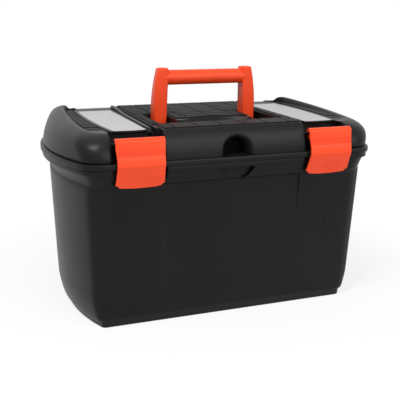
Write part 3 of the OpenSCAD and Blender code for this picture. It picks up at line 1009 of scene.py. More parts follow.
    def shell(self) -> Shape:
        """The tub's walls and floor in one skin.

        Returns:
            The closed shell.
        """
        rows = [self.ring(z, self.foot.inset(inset)) for z, inset in self.foot_rows]
        rows += [self.ring(z, self.wall_plan(z, inset), self.sink_at(z), self.proud_at(z))
                 for z, inset in self.wall_rows]
        wall = self.wall_plan(self.collar_z - 2.0)
        for z, share in self.step_rows:
            fade = 1.0 - share
            rows.append(self.ring(z, wall.toward(self.collar, share), self.sink_at(z) * fade,
                                  self.end_proud * fade, recess=True))
        rows += [self.ring(z, self.collar.toward(self.throat, share), recess=True)
                 for z, share in self.flare_rows]
        rows.append(self.ring(self.flange_z - 0.05, self.throat.toward(self.rim, 0.15), recess=True))
        rows.append(self.ring(self.flange_z, self.throat.toward(self.rim, 0.16)))
        rows += [self.ring(z, self.rim.inset(inset)) for z, inset in self.rim_rows]
        rows += [self.ring(z, self.wall_plan(z, inset), self.sink_at(z), self.proud_at(z), outer=False)
                 for z, inset in self.inner_rows]
        rows.append(self.ring(self.floor_z, self.foot.inset(self.floor_in), outer=False))
        return Shape.loft(rows)

    def build(self, finishes: Finishes) -> None:
        """Makes the tub's pieces and dresses them.

        Args:
            finishes: the box's materials.
        """
        shell = self.shell().combine(Combine.CUT, lock_eye(self.eye_z))
        shell.placed("tub_shell", "tub", finishes.black, Slot.BODY, "tub", crease=40.0)
        self.fittings().placed("tub_fittings", "tub", finishes.black, Slot.BODY, weighted=True)

    def fittings(self) -> Shape:
        """Hinge knuckles, tray rests and latch keepers.

        Returns:
            All of them in one mesh.
        """
        whole = Shape()
        half = (SIZES.hinge_half - SIZES.knuckle_half - SIZES.hinge_gap) / 2
        shift = (SIZES.hinge_half + SIZES.knuckle_half + SIZES.hinge_gap) / 2
        wall, low = self.rest_wall_y, self.tray_z - self.rest_tall
        for side in Side:
            for end in (-1, 1):
                middle = side.value * SIZES.hinge_x + end * shift
                whole.beside(knuckle(self.arm_low, self.arm_high, 1, middle, half, 0.5))
            keeper = Shape.box(
                (SIZES.latch_x - self.keeper_w / 2, -self.pocket_y - self.keeper_out, self.keeper_z),
                (SIZES.latch_x + self.keeper_w / 2, self.keeper_tall - self.pocket_y,
                 self.keeper_z + self.keeper_tall))
            whole.beside(keeper.soften(0.5, 2).on(side))
            for face in (-1.0, 1.0):
                rest = Shape.prism([(face * wall, self.tray_z), (face * (wall - self.rest_deep), self.tray_z),
                                    (face * (wall - self.rest_toe), low), (face * wall, low)],
                                   self.rest_x - self.rest_half, self.rest_x + self.rest_half, Axis.X)
                whole.beside(rest.soften(0.8, 2).on(side))
        return whole


@dataclass
class Tray:
    """The lift-out tray: lipped walls, two dividers and a grip bar.

    Its tables of rows give, level by level, a height and how far the outline is drawn in there.
    """

    low: Plan = Plan(174.0, 110.0, 15.0, 295.0)
    high: Plan = Plan(178.0, 114.0, 15.0, 295.0)
    foot_rows: Rows = ((131.0, 3.0), (131.9, 0.9), (134.0, 0.0))
    lip_rows: Rows = ((184.4, 0.0), (185.0, -0.6), (185.0, -2.4), (185.6, -3.0), (187.4, -3.0), (188.0, -2.3),
                      (188.0, 1.5), (187.3, 2.2))
    floor_rows: Rows = ((137.0, 2.2), (134.2, 3.4), (133.2, 6.2))
    divider: Rows = ((109.0, 132.0), (111.5, 176.0), (26.0, 176.0), (16.0, 197.0))
    divider_x: float = 62.0
    divider_half: float = 1.4
    grip_z: float = 192.0
    grip_r: float = 6.0

    def build(self, finishes: Finishes) -> None:
        """Makes the tray's pieces and dresses them.

        Args:
            finishes: the box's materials.
        """
        tables = ((self.low, self.foot_rows), (self.high, self.lip_rows), (self.low, self.floor_rows))
        rows = [at_height(plan.inset(inset).whole(), z) for plan, table in tables for z, inset in table]
        Shape.loft(rows).placed("tray_shell", "tub", finishes.inside, Slot.BODY, "tray")
        whole = Shape.rod(self.grip_r, -self.divider_x, self.divider_x, 0.0, self.grip_z, 32)
        mirror = [(-y, z) for y, z in reversed(self.divider)]
        outline = [mirror[-1], *self.divider, *mirror[:-1]]
        near, far = self.divider_x - self.divider_half, self.divider_x + self.divider_half
        for side in Side:
            wall = Shape.prism(outline, near, far, Axis.X)
            whole.beside(wall.soften(0.7, 2).on(side))
        whole.placed("tray_dividers", "tub", finishes.inside, Slot.BODY, weighted=True)


@dataclass
class Lid:
    """The moulded lid: flange, domed ends with tread strips, middle block with treads and handle channel.

    crest_rows and inner_rows give, line by line over the ridge, how far in a line lies and how far down.
    deck_rows give a line's gap to the hatch and how far down it lies.
    """

    # undersides, and a corner clear of the lid for cuts
    base_z: float = 197.0
    open_z: float = 190.0
    clear: Point = (120.0, -150.0, 260.0)
    # flange: hinge arms, notch floors and lock sill
    arm_high: Rows = ((131.0, 194.0), (131.0, 198.6), (138.5, 197.4))
    arm_low: Rows = ((136.6, 194.0),)
    floor_over: float = 4.0
    floor_front: float = -131.0
    floor_low: float = 196.0
    sill_half: float = 24.0
    sill_back: float = -115.0
    eye_z: float = 197.0
    # dome and ridge
    skirt_in: float = 3.5
    skirt_r: float = 27.0
    top_in_y: float = 27.0
    crown: Plan = Plan(168.0, 109.0, 34.0, 895.0)
    cap_skin: float = 2.6
    section_steps: int = 18
    dome_steps: int = 13
    crest_turn: float = 76.0
    crest_share: float = 0.86
    crest_rows: Rows = ((0.15, 0.13), (0.35, 0.03), (0.55, 0.0), (0.8, 0.0))
    inner_rows: Rows = ((0.3, 0.03), (0.6, 0.14), (0.8, 0.4), (0.9, 0.8), (0.98, 0.97), (1.2, 1.0))
    deck_rows: Rows = ((1.1, 0.0), (0.65, 0.25), (0.5, 0.8), (0.5, 0.0))
    ridge_mid_z: float = 233.3
    ridge_slope: float = 0.043
    ridge_end: float = 93.0
    ridge_fall: float = 6.2
    ridge_fall_run: float = 8.0
    # middle block and its fall to the back
    block_back: float = 100.0
    back_in: float = 0.36
    fall_y: float = 126.0
    fall_z: float = 221.5
    fall_dip: float = 0.4
    fall_in: float = 0.43
    # treads
    tread_deep: float = 1.5
    tread_gap: float = 1.4
    tread_wide: float = 32.0
    tread_short: float = 12.0
    tread_rows: int = 10
    tread_room: float = 1.6
    tread_least: float = 3.0
    row_gap: float = 3.4
    lip_wide: float = 28.0
    lip_front: float = -118.6
    strip_in: Plan = Plan(165.2, 109.0, 30.0, 900.0)
    strip_from: float = 120.0
    strip_front: float = -84.0
    strip_back: float = 92.0
    strip_pitch: float = 17.6
    strip_count: int = 11
    # handle channel, platform and finger hollow
    slot_in: float = 48.0
    slot_out: float = 76.0
    slot_front: float = 84.5
    slot_back: float = 0.2
    slot_z: float = 208.4
    slot_top: float = 250.0
    platform_front: float = 59.5
    hollow_in: float = 24.0
    hollow_out: float = 9.0
    scoop_low_r: float = 51.6
    scoop_top_r: float = 65.6
    scoop_y: float = -107.1
    scoop_up: float = 6.0
    scoop_over: float = 12.0
    # walls beside the latch notches
    cheek_y: Flat = (-140.0, -105.0)
    cheek_z: Flat = (198.0, 240.0)
    cheek_in: Flat = (97.5, 93.0)
    cheek_skin: Flat = (0.3, 2.8)
    # hatch bay and the bar beside it
    well_x: Flat = (99.0, 140.0)
    well_y: Flat = (-98.0, 85.0)
    well_z: float = 203.0
    well_r: float = 4.0
    shelf_x: float = 151.0
    shelf_y: float = 80.0
    rest_end: float = 107.6
    bore_r: float = 2.7
    bore_end: float = 141.2
    bar_top: float = 231.3
    bar_front: float = -101.0
    bar_rise: float = 2.3
    bar_climb: Flat = (30.0, 84.0)
    bar_drop: float = 5.0
    # lock niche
    niche_r: float = 12.0
    niche_soft: float = 12.0
    niche_over: float = 6.0
    niche_lean: float = 0.3
    niche_deep: float = 15.0
    niche_tuck: float = 0.42
    niche_z: float = 205.0

    def section(self, to_z: float, inset: float = 0.0) -> list[Flat]:
        """The front of the dome in Y and Z, from the flange up to a height.

        Args:
            to_z: the height to reach.
            inset: distance inside the outer skin.

        Returns:
            Points from low to high, with Y given as a distance from the middle.
        """
        height = SIZES.ridge_z - inset - SIZES.dome_z
        top = math.asin(min(1.0, (to_z - SIZES.dome_z) / height))
        skirt = self.skirt_in + inset
        return [(SIZES.rim_hy - skirt - (self.top_in_y - skirt) * (1.0 - math.cos(t)),
                 SIZES.dome_z + math.sin(t) * height) for t in spaced(0.0, top, self.section_steps)]

    def crest(self, y: float) -> float:
        """Height of the ridges at a given Y: a straight climb to the back that rounds off at its end."""
        gone = min(1.0, max(0.0, (y - self.ridge_end) / self.ridge_fall_run))
        return self.ridge_mid_z + self.ridge_slope * min(y, self.ridge_end) - self.ridge_fall * gone ** 2

    def strip_level(self, y: float) -> float:
        """Height of the strip inside the ridge at a given Y, below its treads."""
        return min(SIZES.strip_z - self.tread_deep, self.crest(y) - 0.5)

    def build(self, finishes: Finishes) -> None:
        """Makes the lid's pieces and dresses them.

        Args:
            finishes: the box's materials.
        """
        black, tread = finishes.black, finishes.tread
        self.rim().placed("lid_rim", "lid", black, Slot.BODY, "lid")
        self.middle().placed("lid_middle", "lid", black, Slot.BODY, weighted=True)
        self.treads().placed("lid_treads", "lid", tread, Slot.BODY, weighted=True)
        for side in Side:
            word = side.word
            self.bay().on(side).placed(f"lid_bay_{word}", "lid", black, Slot.BODY, weighted=True)
            self.bar().on(side).placed(f"lid_bar_{word}", "lid", black, Slot.BODY, weighted=True)
            cap = self.cap().on(side).placed(f"lid_end_{word}", "lid", black, Slot.BODY, crease=45.0)
            skin = cap.modifiers.new("skin", "SOLIDIFY")
            skin.thickness, skin.offset, skin.use_even_offset = self.cap_skin * MM, -1.0, True
            self.cheeks().on(side).placed(f"lid_cheeks_{word}", "lid", black, Slot.BODY, weighted=True)
            strip = self.strip_treads().on(side)
            strip.placed(f"lid_strip_treads_{word}", "lid", tread, Slot.BODY, weighted=True)

    def rim(self) -> Shape:
        """The flange round the lid, with the notch floors and hinge knuckles.

        Returns:
            All of them in one mesh.
        """
        plan = Plan(SIZES.rim_hx, SIZES.rim_hy, SIZES.rim_r, SIZES.end_bow)
        low, top = SIZES.split_z, SIZES.flange_top
        rows = [at_height(plan.inset(inset).whole(14, 20), z) for z, inset in (
            (low, 6.3), (low, 1.2), (low + 0.3, 0.35), (low + 1.1, 0.0), (top - 1.4, 0.0), (top - 0.5, 0.35),
            (top, 1.3), (top, 6.3))]
        ring = Shape.loft(rows, endless=True)
        for side in Side:
            floor = Shape.box((SIZES.notch_in - self.floor_over, self.floor_front, self.floor_low),
                              (SIZES.notch_out + self.floor_over, SIZES.wall - SIZES.notch_back, top))
            ring.beside(floor.on(side))
            middle = side.value * SIZES.hinge_x
            ring.beside(knuckle(self.arm_high, self.arm_low, -1, middle, SIZES.knuckle_half, 0.4))
        sill = Shape.box((-self.sill_half, self.floor_front, self.floor_low),
                         (self.sill_half, self.sill_back, top))
        ring.combine(Combine.JOIN, sill)
        return ring.combine(Combine.CUT, lock_eye(self.eye_z))

    def block_outline(self, inset: float, base: float) -> list[Flat]:
        """The middle block in Y and Z.

        Args:
            inset: distance inside the outer skin.
            base: height of its open underside.

        Returns:
            The outline's points, from the front over the top to the back.
        """
        top = SIZES.block_z - self.tread_deep - inset
        front = [(-y, z) for y, z in self.section(top, inset)]
        back = self.section(self.fall_z - inset, inset)[::-1]
        return [(front[0][0], base), *front, (self.block_back - self.back_in * inset, top),
                (self.fall_y - self.fall_in * inset, self.fall_z - self.fall_dip - inset), *back,
                (back[-1][0], base)]

    def middle(self) -> Shape:
        """The block between the bars, with its handle channel and lock niche.

        Returns:
            The block, open below, with the niche's wall beside it.
        """
        top, skin, x = SIZES.block_z - self.tread_deep, SIZES.wall, SIZES.block_x
        far_x, far_y, far_z = self.clear
        within = self.block_outline(1.2, self.base_z + 0.5)
        block = Shape.prism(self.block_outline(0.0, self.base_z), -x, x, Axis.X)
        inside = Shape.prism(self.block_outline(skin, self.open_z), skin - x, x - skin, Axis.X)
        block.combine(Combine.CUT, inside)
        trough = Shape.box((-self.slot_out - skin, -self.slot_front - skin, self.slot_z - skin),
                           (self.slot_out + skin, self.slot_back + skin, top - 1.0))
        block.combine(Combine.JOIN, trough)
        for side in Side:
            cheek = Shape.box((SIZES.notch_in - skin, self.cheek_y[0], self.cheek_z[0]),
                              (x - 0.4, self.cheek_y[1], self.cheek_z[1])).on(side)
            cheek.combine(Combine.KEEP, Shape.prism(within, 1.0 - x, x - 1.0, Axis.X))
            block.combine(Combine.JOIN, cheek)
        channel = Shape.box((-self.slot_out, -self.slot_front, self.slot_z),
                            (self.slot_out, -self.platform_front, self.slot_top))
        hollow = Shape.box((-self.slot_in + skin, -self.platform_front + skin + self.hollow_in,
                            self.slot_z - self.hollow_out),
                           (self.slot_in - skin, self.slot_back + self.hollow_out, top - skin))
        block.combine(Combine.CUT, channel, hollow)
        for side in Side:
            slot = Shape.box((self.slot_in, -self.slot_front + 1.0, self.slot_z),
                             (self.slot_out, self.slot_back, self.slot_top))
            notch = Shape.box((SIZES.notch_in, far_y, SIZES.flange_top), (far_x, -SIZES.notch_back, far_z))
            ledge = Shape.box((SIZES.notch_in, far_y, SIZES.ledge_z), (far_x, 6.0 - SIZES.notch_back, far_z))
            block.combine(Combine.CUT, slot.on(side), notch.on(side), ledge.on(side))
        block.combine(Combine.CUT, Shape.loft(self.niche_rows(0.0)))
        block.cleaned()
        block.soften(0.9, 3, 38.0, above(SIZES.flange_top + 1.0))
        return block.combine(Combine.CUT, self.scoop()).beside(self.niche_cup())

    def skin_y(self, z: float) -> float:
        """Y of the dome's front skin at a height.

        Args:
            z: the height.

        Returns:
            Y, which is below zero.
        """
        height = SIZES.ridge_z - SIZES.dome_z
        share = min(1.0, max(0.0, (z - SIZES.dome_z) / height))
        gone = 1.0 - math.sqrt(1.0 - share ** 2)
        return -lerp(SIZES.rim_hy - self.skirt_in, SIZES.rim_hy - self.top_in_y, gone)

    def niche_cup(self) -> Shape:
        """The wall behind the lock niche, from inside the front skin to the bowl's end and back."""
        inner, outer = self.niche_rows(0.05)[2:], self.niche_rows(2.0)[2:]
        return Shape.loft(inner[::-1] + outer)

    def niche_rows(self, out: float) -> list[Ring]:
        """The arched lock niche in the front, line by line: a rounded mouth that closes to a bowl.

        Args:
            out: distance by which it is let out.

        Returns:
            The lines from outside the skin to the bowl's end.
        """
        soft, deep = self.niche_soft, self.niche_deep + out
        lean = self.niche_lean
        mouth = self.niche_r + soft * (1.0 - math.sin(lean))
        depths = [(-self.niche_over * math.tan(lean), mouth + self.niche_over)]
        depths += [(soft * (math.cos(lean) - math.cos(a)), self.niche_r + soft * (1.0 - math.sin(a)))
                   for a in spaced(lean, math.pi / 2, 8)]
        depths += [(lerp(soft * math.cos(lean), deep, math.sin(a)), self.niche_r * math.cos(a))
                   for a in spaced(0.0, 1.3, 9)[1:]]
        rows: list[Ring] = []
        for depth, across in depths:
            r = across + out
            arch = [(r * math.cos(a), self.niche_z + r * math.sin(a)) for a in spaced(0.0, math.pi, 33)]
            arch += [(-r, SIZES.flange_top - out), (r, SIZES.flange_top - out)]
            tuck = self.niche_tuck * max(depth, 0.0) / deep
            top = self.niche_z + self.niche_r + soft
            rows.append([(x, self.skin_y(z) + depth + tuck * (top - z), z) for x, z in arch])
        return rows

    def scoop(self) -> Shape:
        """The hollow for the fingers in the front of the platform: a cone that leans back as it rises.

        Returns:
            The cone, trimmed to the platform.
        """
        low_z = self.slot_z + self.scoop_up
        rise = SIZES.block_z - low_z
        depth = rise + self.scoop_over
        slope = (self.scoop_top_r - self.scoop_low_r) / rise
        shape = Shape.cone(self.scoop_low_r, self.scoop_top_r + slope * self.scoop_over, depth,
                           Matrix.Translation((0.0, self.scoop_y, low_z + depth / 2)), 160)
        keep = Shape.box((-self.slot_in - 1.0, -self.platform_front - 1.0, 0.0),
                         (self.slot_in + 1.0, 0.0, 300.0))
        return shape.combine(Combine.KEEP, keep)

    def tile(self, corners: Sequence[Flat], low: float, high: float) -> Shape:
        """One raised tread with rounded upper edges."""
        shape = Shape.prism(corners, low, high, Axis.Z)
        return shape.soften(0.55, 2, 25.0, above(high - 0.1))

    def treads(self) -> Shape:
        """Raised treads of the middle block: a grid behind the channel and small blocks on the front lip.

        Returns:
            All of them in one mesh.
        """
        low, high = SIZES.block_z - self.tread_deep - 0.6, SIZES.block_z
        gap = self.tread_gap / 2
        whole = Shape()
        x_end = SIZES.block_x + gap - 1.0
        x_lines = [-x_end, *(self.tread_wide * k for k in range(-2, 3)), x_end]
        pitch = (self.block_back + self.platform_front - self.tread_short) / self.tread_rows
        y_lines = [self.block_back + gap - 0.6 - k * pitch for k in range(self.tread_rows + 1)]
        for back, front in zip(y_lines, y_lines[1:]):
            for left, right in zip(x_lines, x_lines[1:]):
                for tile in self.around_slots((left + gap, front + self.row_gap / 2, right - gap,
                                               back - self.row_gap / 2)):
                    whole.beside(self.tile(self.cut_by_scoop(tile), low, high))
        for left, right in ((-SIZES.block_x + 1.0, -self.slot_out - self.tread_gap),
                            (self.slot_out + self.tread_gap, SIZES.block_x - 1.0)):
            whole.beside(self.tile([(left, -self.slot_front + 1.0), (right, -self.slot_front + 1.0),
                                    (right, y_lines[-1] - gap), (left, y_lines[-1] - gap)], low, high))
        lip_end, rear = SIZES.notch_in - self.tread_room, -self.slot_front - self.tread_room
        lip = [-lip_end, *(self.lip_wide * (k - 2.5) for k in range(6)), lip_end]
        for left, right in zip(lip, lip[1:]):
            whole.beside(self.tile([(left + gap, self.lip_front), (right - gap, self.lip_front),
                                    (right - gap, rear), (left + gap, rear)], low, high))
        return whole

    def around_slots(self, tile: Tile) -> list[Tile]:
        """What is left of a tread beside the handle's slots.

        Args:
            tile: left, front, right and back of the tread.

        Returns:
            The parts that stand clear of the slots.
        """
        room = 1.2
        parts = [tile]
        for side in (-1, 1):
            edges = sorted((side * (self.slot_in - room), side * (self.slot_out + room)))
            back = self.slot_back + room
            fresh = []
            for left, front, right, rear in parts:
                if right <= edges[0] or left >= edges[1] or front >= back:
                    fresh.append((left, front, right, rear))
                    continue
                if left < edges[0]:
                    fresh.append((left, front, edges[0], min(rear, back)))
                if right > edges[1]:
                    fresh.append((edges[1], front, right, min(rear, back)))
                if rear > back:
                    fresh.append((left, back, right, rear))
            parts = fresh
        return [p for p in parts if min(p[2] - p[0], p[3] - p[1]) > self.tread_least]

    def cut_by_scoop(self, tile: Tile) -> list[Flat]:
        """A tread's outline, its front edge held behind the finger hollow.

        Args:
            tile: left, front, right and back of the tread.

        Returns:
            The outline's points.
        """
        left, front, right, back = tile
        edge = []
        for x in spaced(left, right, 9):
            arc = self.scoop_y + math.sqrt(max(self.scoop_top_r ** 2 - x ** 2, 0.0)) + self.tread_room
            edge.append((x, max(front, arc) if abs(x) < self.slot_in else front))
        return edge + [(right, back), (left, back)]

    def bay(self) -> Shape:
        """The hatch bay on the right: front ledge, deck with its well, and the fall to the back.

        Returns:
            The bay, open below.
        """
        skin, base = SIZES.wall, self.base_z
        back = self.section(self.fall_z)[::-1]
        in_back = self.section(self.fall_z - skin, skin)
        face, ledge, deck = -SIZES.notch_back, SIZES.ledge_z, SIZES.deck_z
        step, rise, rest = SIZES.bay_front, SIZES.bay_back, SIZES.strip_z - 0.5
        outline = [(face, base), (face, ledge), (step, ledge), (step, deck), (rise, deck), (rise, rest),
                   (self.rest_end, rest), (self.fall_y, self.fall_z), *back, (back[-1][0], base),
                   (in_back[0][0], base), *in_back, (self.fall_y - 1.0, self.fall_z - skin),
                   (self.rest_end - 0.8, rest - skin), (rise + skin, rest - skin), (rise + skin, deck - skin),
                   (step + skin, deck - skin), (step + skin, ledge - skin), (face + skin, ledge - skin),
                   (face + skin, base)]
        bay = Shape.prism(outline, SIZES.block_x - 1.5, SIZES.notch_out + 0.4, Axis.X)
        shelf = Shape.box((SIZES.notch_out - 6.0, -self.shelf_y, deck - skin + 0.3),
                          (self.shelf_x, self.shelf_y, deck - 0.02))
        (left, right), (front, rear) = self.well_x, self.well_y
        case = Shape.box((left - skin, front - skin, self.well_z - skin),
                         (right + skin, rear + skin, deck - 1.0))
        bay.combine(Combine.JOIN, shelf, case)
        well = Shape.box((left, front, self.well_z), (right, rear, self.clear[2]))
        well.soften(self.well_r, 5, where=lambda e: abs(e.verts[0].co.z - e.verts[1].co.z) > 1.0)
        bore = Shape.rod(self.bore_r, SIZES.bar_x, self.bore_end, SIZES.hatch_y, SIZES.hatch_axis_z)
        bay.combine(Combine.CUT, well, bore)
        bay.cleaned()
        return bay.soften(0.7, 2, 40.0, lambda e: all(v.co.z > 198.0 and v.co.x < 142.0 for v in e.verts))

    def bar(self) -> Shape:
        """The rounded bar between the middle block and the right hatch.

        Returns:
            The bar, with the kerb and the web that carry it.
        """
        low, top, high = SIZES.deck_z - self.bar_drop, self.bar_top, self.bar_top + self.bar_rise
        front, back = self.bar_front, self.block_back
        outline = eased([(front, low), (front, top - 3.5), (front + 4.5, top), (self.bar_climb[0], top),
                         (self.bar_climb[1], high), (back + 0.5, high), (back + 4.0, low)],
                        [0.0, 1.6, 2.2, 9.0, 9.0, 1.6, 0.0], 4)
        bar = Shape.prism(outline, SIZES.block_x + 2.8, SIZES.bar_x - 0.7, Axis.X).soften(1.2, 4, 30.0)
        kerb = Shape.box((SIZES.block_x - 1.0, front + 0.4, low),
                         (SIZES.block_x + 4.0, back, low + 3.0))
        web = Shape.box((SIZES.block_x - 1.0, back - 14.0, low),
                        (SIZES.block_x + 5.0, back - 0.3, high - 1.2))
        return bar.beside(kerb.soften(0.4, 2)).beside(web.soften(0.5, 2))

    def dome_plan(self, gone: float) -> Plan:
        """The dome's outline where a share of its way in from the flange to the crest is done."""
        skirt = Plan(SIZES.rim_hx - self.skirt_in, SIZES.rim_hy - self.skirt_in, self.skirt_r, SIZES.end_bow)
        return skirt.toward(self.crown, gone)

    def cap_rows(self) -> list[Ring]:
        """The skin of the domed right end, line by line from the flange over the ridge down to the deck.

        Returns:
            Lines with the same number of points.
        """
        count = 90
        x0 = SIZES.notch_out
        rows: list[Ring] = []
        edge = math.radians(self.crest_turn)
        for t in spaced(0.0, edge, self.dome_steps):
            plan = self.dome_plan(self.crest_share * (1.0 - math.cos(t)) / (1.0 - math.cos(edge)))
            lift = math.sin(t) / math.sin(edge)
            rows.append([(x, y, SIZES.dome_z + lift * (self.crest(y) - 0.3 - SIZES.dome_z))
                         for x, y in plan.around_end(x0, count)])
        outer, crest = self.dome_plan(self.crest_share), self.dome_plan(1.0)
        for along, drop in self.crest_rows:
            plan = outer.toward(crest, along)
            rows.append([(x, y, self.crest(y) - drop) for x, y in plan.around_end(x0, count)])
        for along, drop in self.inner_rows:
            inner = crest.toward(self.strip_in, along)
            rows.append([(x, y, lerp(self.crest(y), self.strip_level(y), drop))
                         for x, y in inner.around_end(x0, count)])
        front, back = SIZES.bay_front, SIZES.bay_back
        for gap, drop in self.deck_rows:
            rows.append([(SIZES.hatch_edge_x(y, gap), y, self.strip_level(y) - drop)
                         for y in spaced(front, back, count)])
        rows[-1] = [(x, y, SIZES.deck_z - 0.3) for x, y, _ in rows[-1]]
        return rows

    def cap(self) -> Shape:
        """The domed right end as an open skin.

        Returns:
            The skin, facing outwards.
        """
        shape = Shape.loft(self.cap_rows(), closed=False)
        shape.bm.normal_update()
        high = max(shape.bm.faces, key=lambda f: f.calc_center_median().z)
        if high.normal.z < 0:
            bmesh.ops.reverse_faces(shape.bm, faces=shape.bm.faces[:])
        return shape

    def cheeks(self) -> Shape:
        """Upright walls that close the right end towards the notch and towards the fall at the back.

        Returns:
            All of them in one mesh.
        """
        x0 = SIZES.notch_out
        whole = Shape()
        lines = self.cap_rows()[:self.dome_steps + len(self.crest_rows)]
        for face, inner in zip((-1.0, 1.0), self.cheek_in):
            side = [min((p for p in ring if p[1] * face > 60.0), key=lambda p: abs(p[0] - x0 - 3.2))
                    for ring in lines]
            outline = [(face * (abs(p[1]) - 0.5), p[2] - 0.5) for p in side]
            outline += [(face * inner, outline[-1][1]), (face * inner, self.cheek_z[0])]
            whole.beside(Shape.prism(outline, x0 + self.cheek_skin[0], x0 + self.cheek_skin[1], Axis.X))
        return whole

    def strip_treads(self) -> Shape:
        """Raised treads along the right strip, between the ridge and the hatch.

        Returns:
            All of them in one mesh.
        """
        whole = Shape()
        gap = self.tread_gap / 2
        edge = self.strip_in.inset(self.tread_room).around_end(self.strip_from, 240)

        def outer_x(y: float) -> float:
            """The ridge's foot at a given Y."""
            return min(edge, key=lambda p: abs(p[1] - y))[0]

        lines = [self.strip_front + self.strip_pitch * k for k in range(self.strip_count)]
        for front, back in zip(lines, lines[1:]):
            ys = spaced(front + gap, min(back - gap, self.strip_back), 6)
            inner = [(SIZES.hatch_edge_x(y, 1.9), y) for y in ys]
            outer = [(outer_x(y), y) for y in reversed(ys)]
            level = self.strip_level(ys[0])
            top = min(level + self.tread_deep, self.crest(ys[0]) - 0.2)
            whole.beside(self.tile(outer + inner, level - 0.6, top))
        return whole


@dataclass
class Handle:
    """The carrying handle: two bowed legs that rake forwards and a round grip between them."""

    grip_z: float = 279.2
    grip_r: float = 9.1
    rake: float = 5.0
    foot_r: float = 11.0
    top_z: float = 291.0
    grip_half: float = 52.0
    bore_half: float = 90.0
    in_low: float = 51.3
    in_high: float = 48.3
    out_low: float = 66.8
    out_high: float = 61.3
    bulge: Rows = ((67.0, 252.0), (64.7, 273.0))
    deep_low: float = 11.0
    deep_high: float = 8.5
    edge_r: float = 3.6
    pin_r: float = 3.25

    def middle_y(self, z: float) -> float:
        """The middle of a leg's depth at a height."""
        return SIZES.handle_y - self.rake * max(0.0, (z - SIZES.handle_z) / (self.grip_z - SIZES.handle_z))

    def half_deep(self, z: float) -> float:
        """Half of a leg's depth at a height: a round foot under the pin, tapered above it.

        Args:
            z: the height.

        Returns:
            Half of the depth.
        """
        rise = z - SIZES.handle_z
        if rise < 0:
            return math.sqrt(max(self.foot_r ** 2 - rise ** 2, 1.0))
        return lerp(self.deep_low, self.deep_high, rise / (self.top_z - SIZES.handle_z))

    def section(self, z: float, outer: float, inset: float) -> Ring:
        """A leg's outline at a height, with round corners.

        Args:
            z: the height.
            outer: X of the outer side.
            inset: distance by which the outline is drawn in.

        Returns:
            The outline's points.
        """
        inner = lerp(self.in_low, self.in_high, (z - SIZES.handle_z) / (self.top_z - SIZES.handle_z)) + inset
        outer, y, deep = outer - inset, self.middle_y(z), self.half_deep(z) - inset
        r = min(self.edge_r, deep * 0.8)
        corners = [(inner, y - deep), (outer, y - deep), (outer, y + deep), (inner, y + deep)]
        return at_height(eased(corners, [r * 0.6, r * 1.25, r * 1.25, r * 0.6], 5), z)

    def leg(self) -> Shape:
        """The right leg.

        Returns:
            The closed leg.
        """
        z = SIZES.handle_z
        side = eased([(self.out_low, z + 4.0), *self.bulge, (self.out_high - 0.2, self.top_z)],
                     [0.0, 9.0, 9.0, 0.0], 6, closed=False)
        rows = [self.section(z - self.foot_r * math.cos(a), self.out_low, 0.0) for a in spaced(0.06, 1.5, 12)]
        rows += [self.section(height, x, 0.0) for x, height in side if height < self.top_z - 2.0]
        rows += [self.section(self.top_z - drop, self.out_high, inset)
                 for drop, inset in ((1.7, 0.0), (1.0, 0.22), (0.4, 0.65), (0.0, 1.6))]
        return Shape.loft(rows)

    def build(self, finishes: Finishes) -> None:
        """Makes the handle and dresses it.

        Args:
            finishes: the box's materials.
        """
        handle = Shape.rod(self.grip_r, -self.grip_half, self.grip_half, SIZES.handle_y - self.rake,
                           self.grip_z, 56)
        for side in Side:
            handle.combine(Combine.JOIN, self.leg().on(side))
        bore = Shape.rod(self.pin_r, -self.bore_half, self.bore_half, SIZES.handle_y, SIZES.handle_z, 32)
        handle.combine(Combine.CUT, bore)
        handle.placed("handle_body", "handle", finishes.orange, Slot.ORANGE, "handle", crease=42.0,
                      weighted=True)


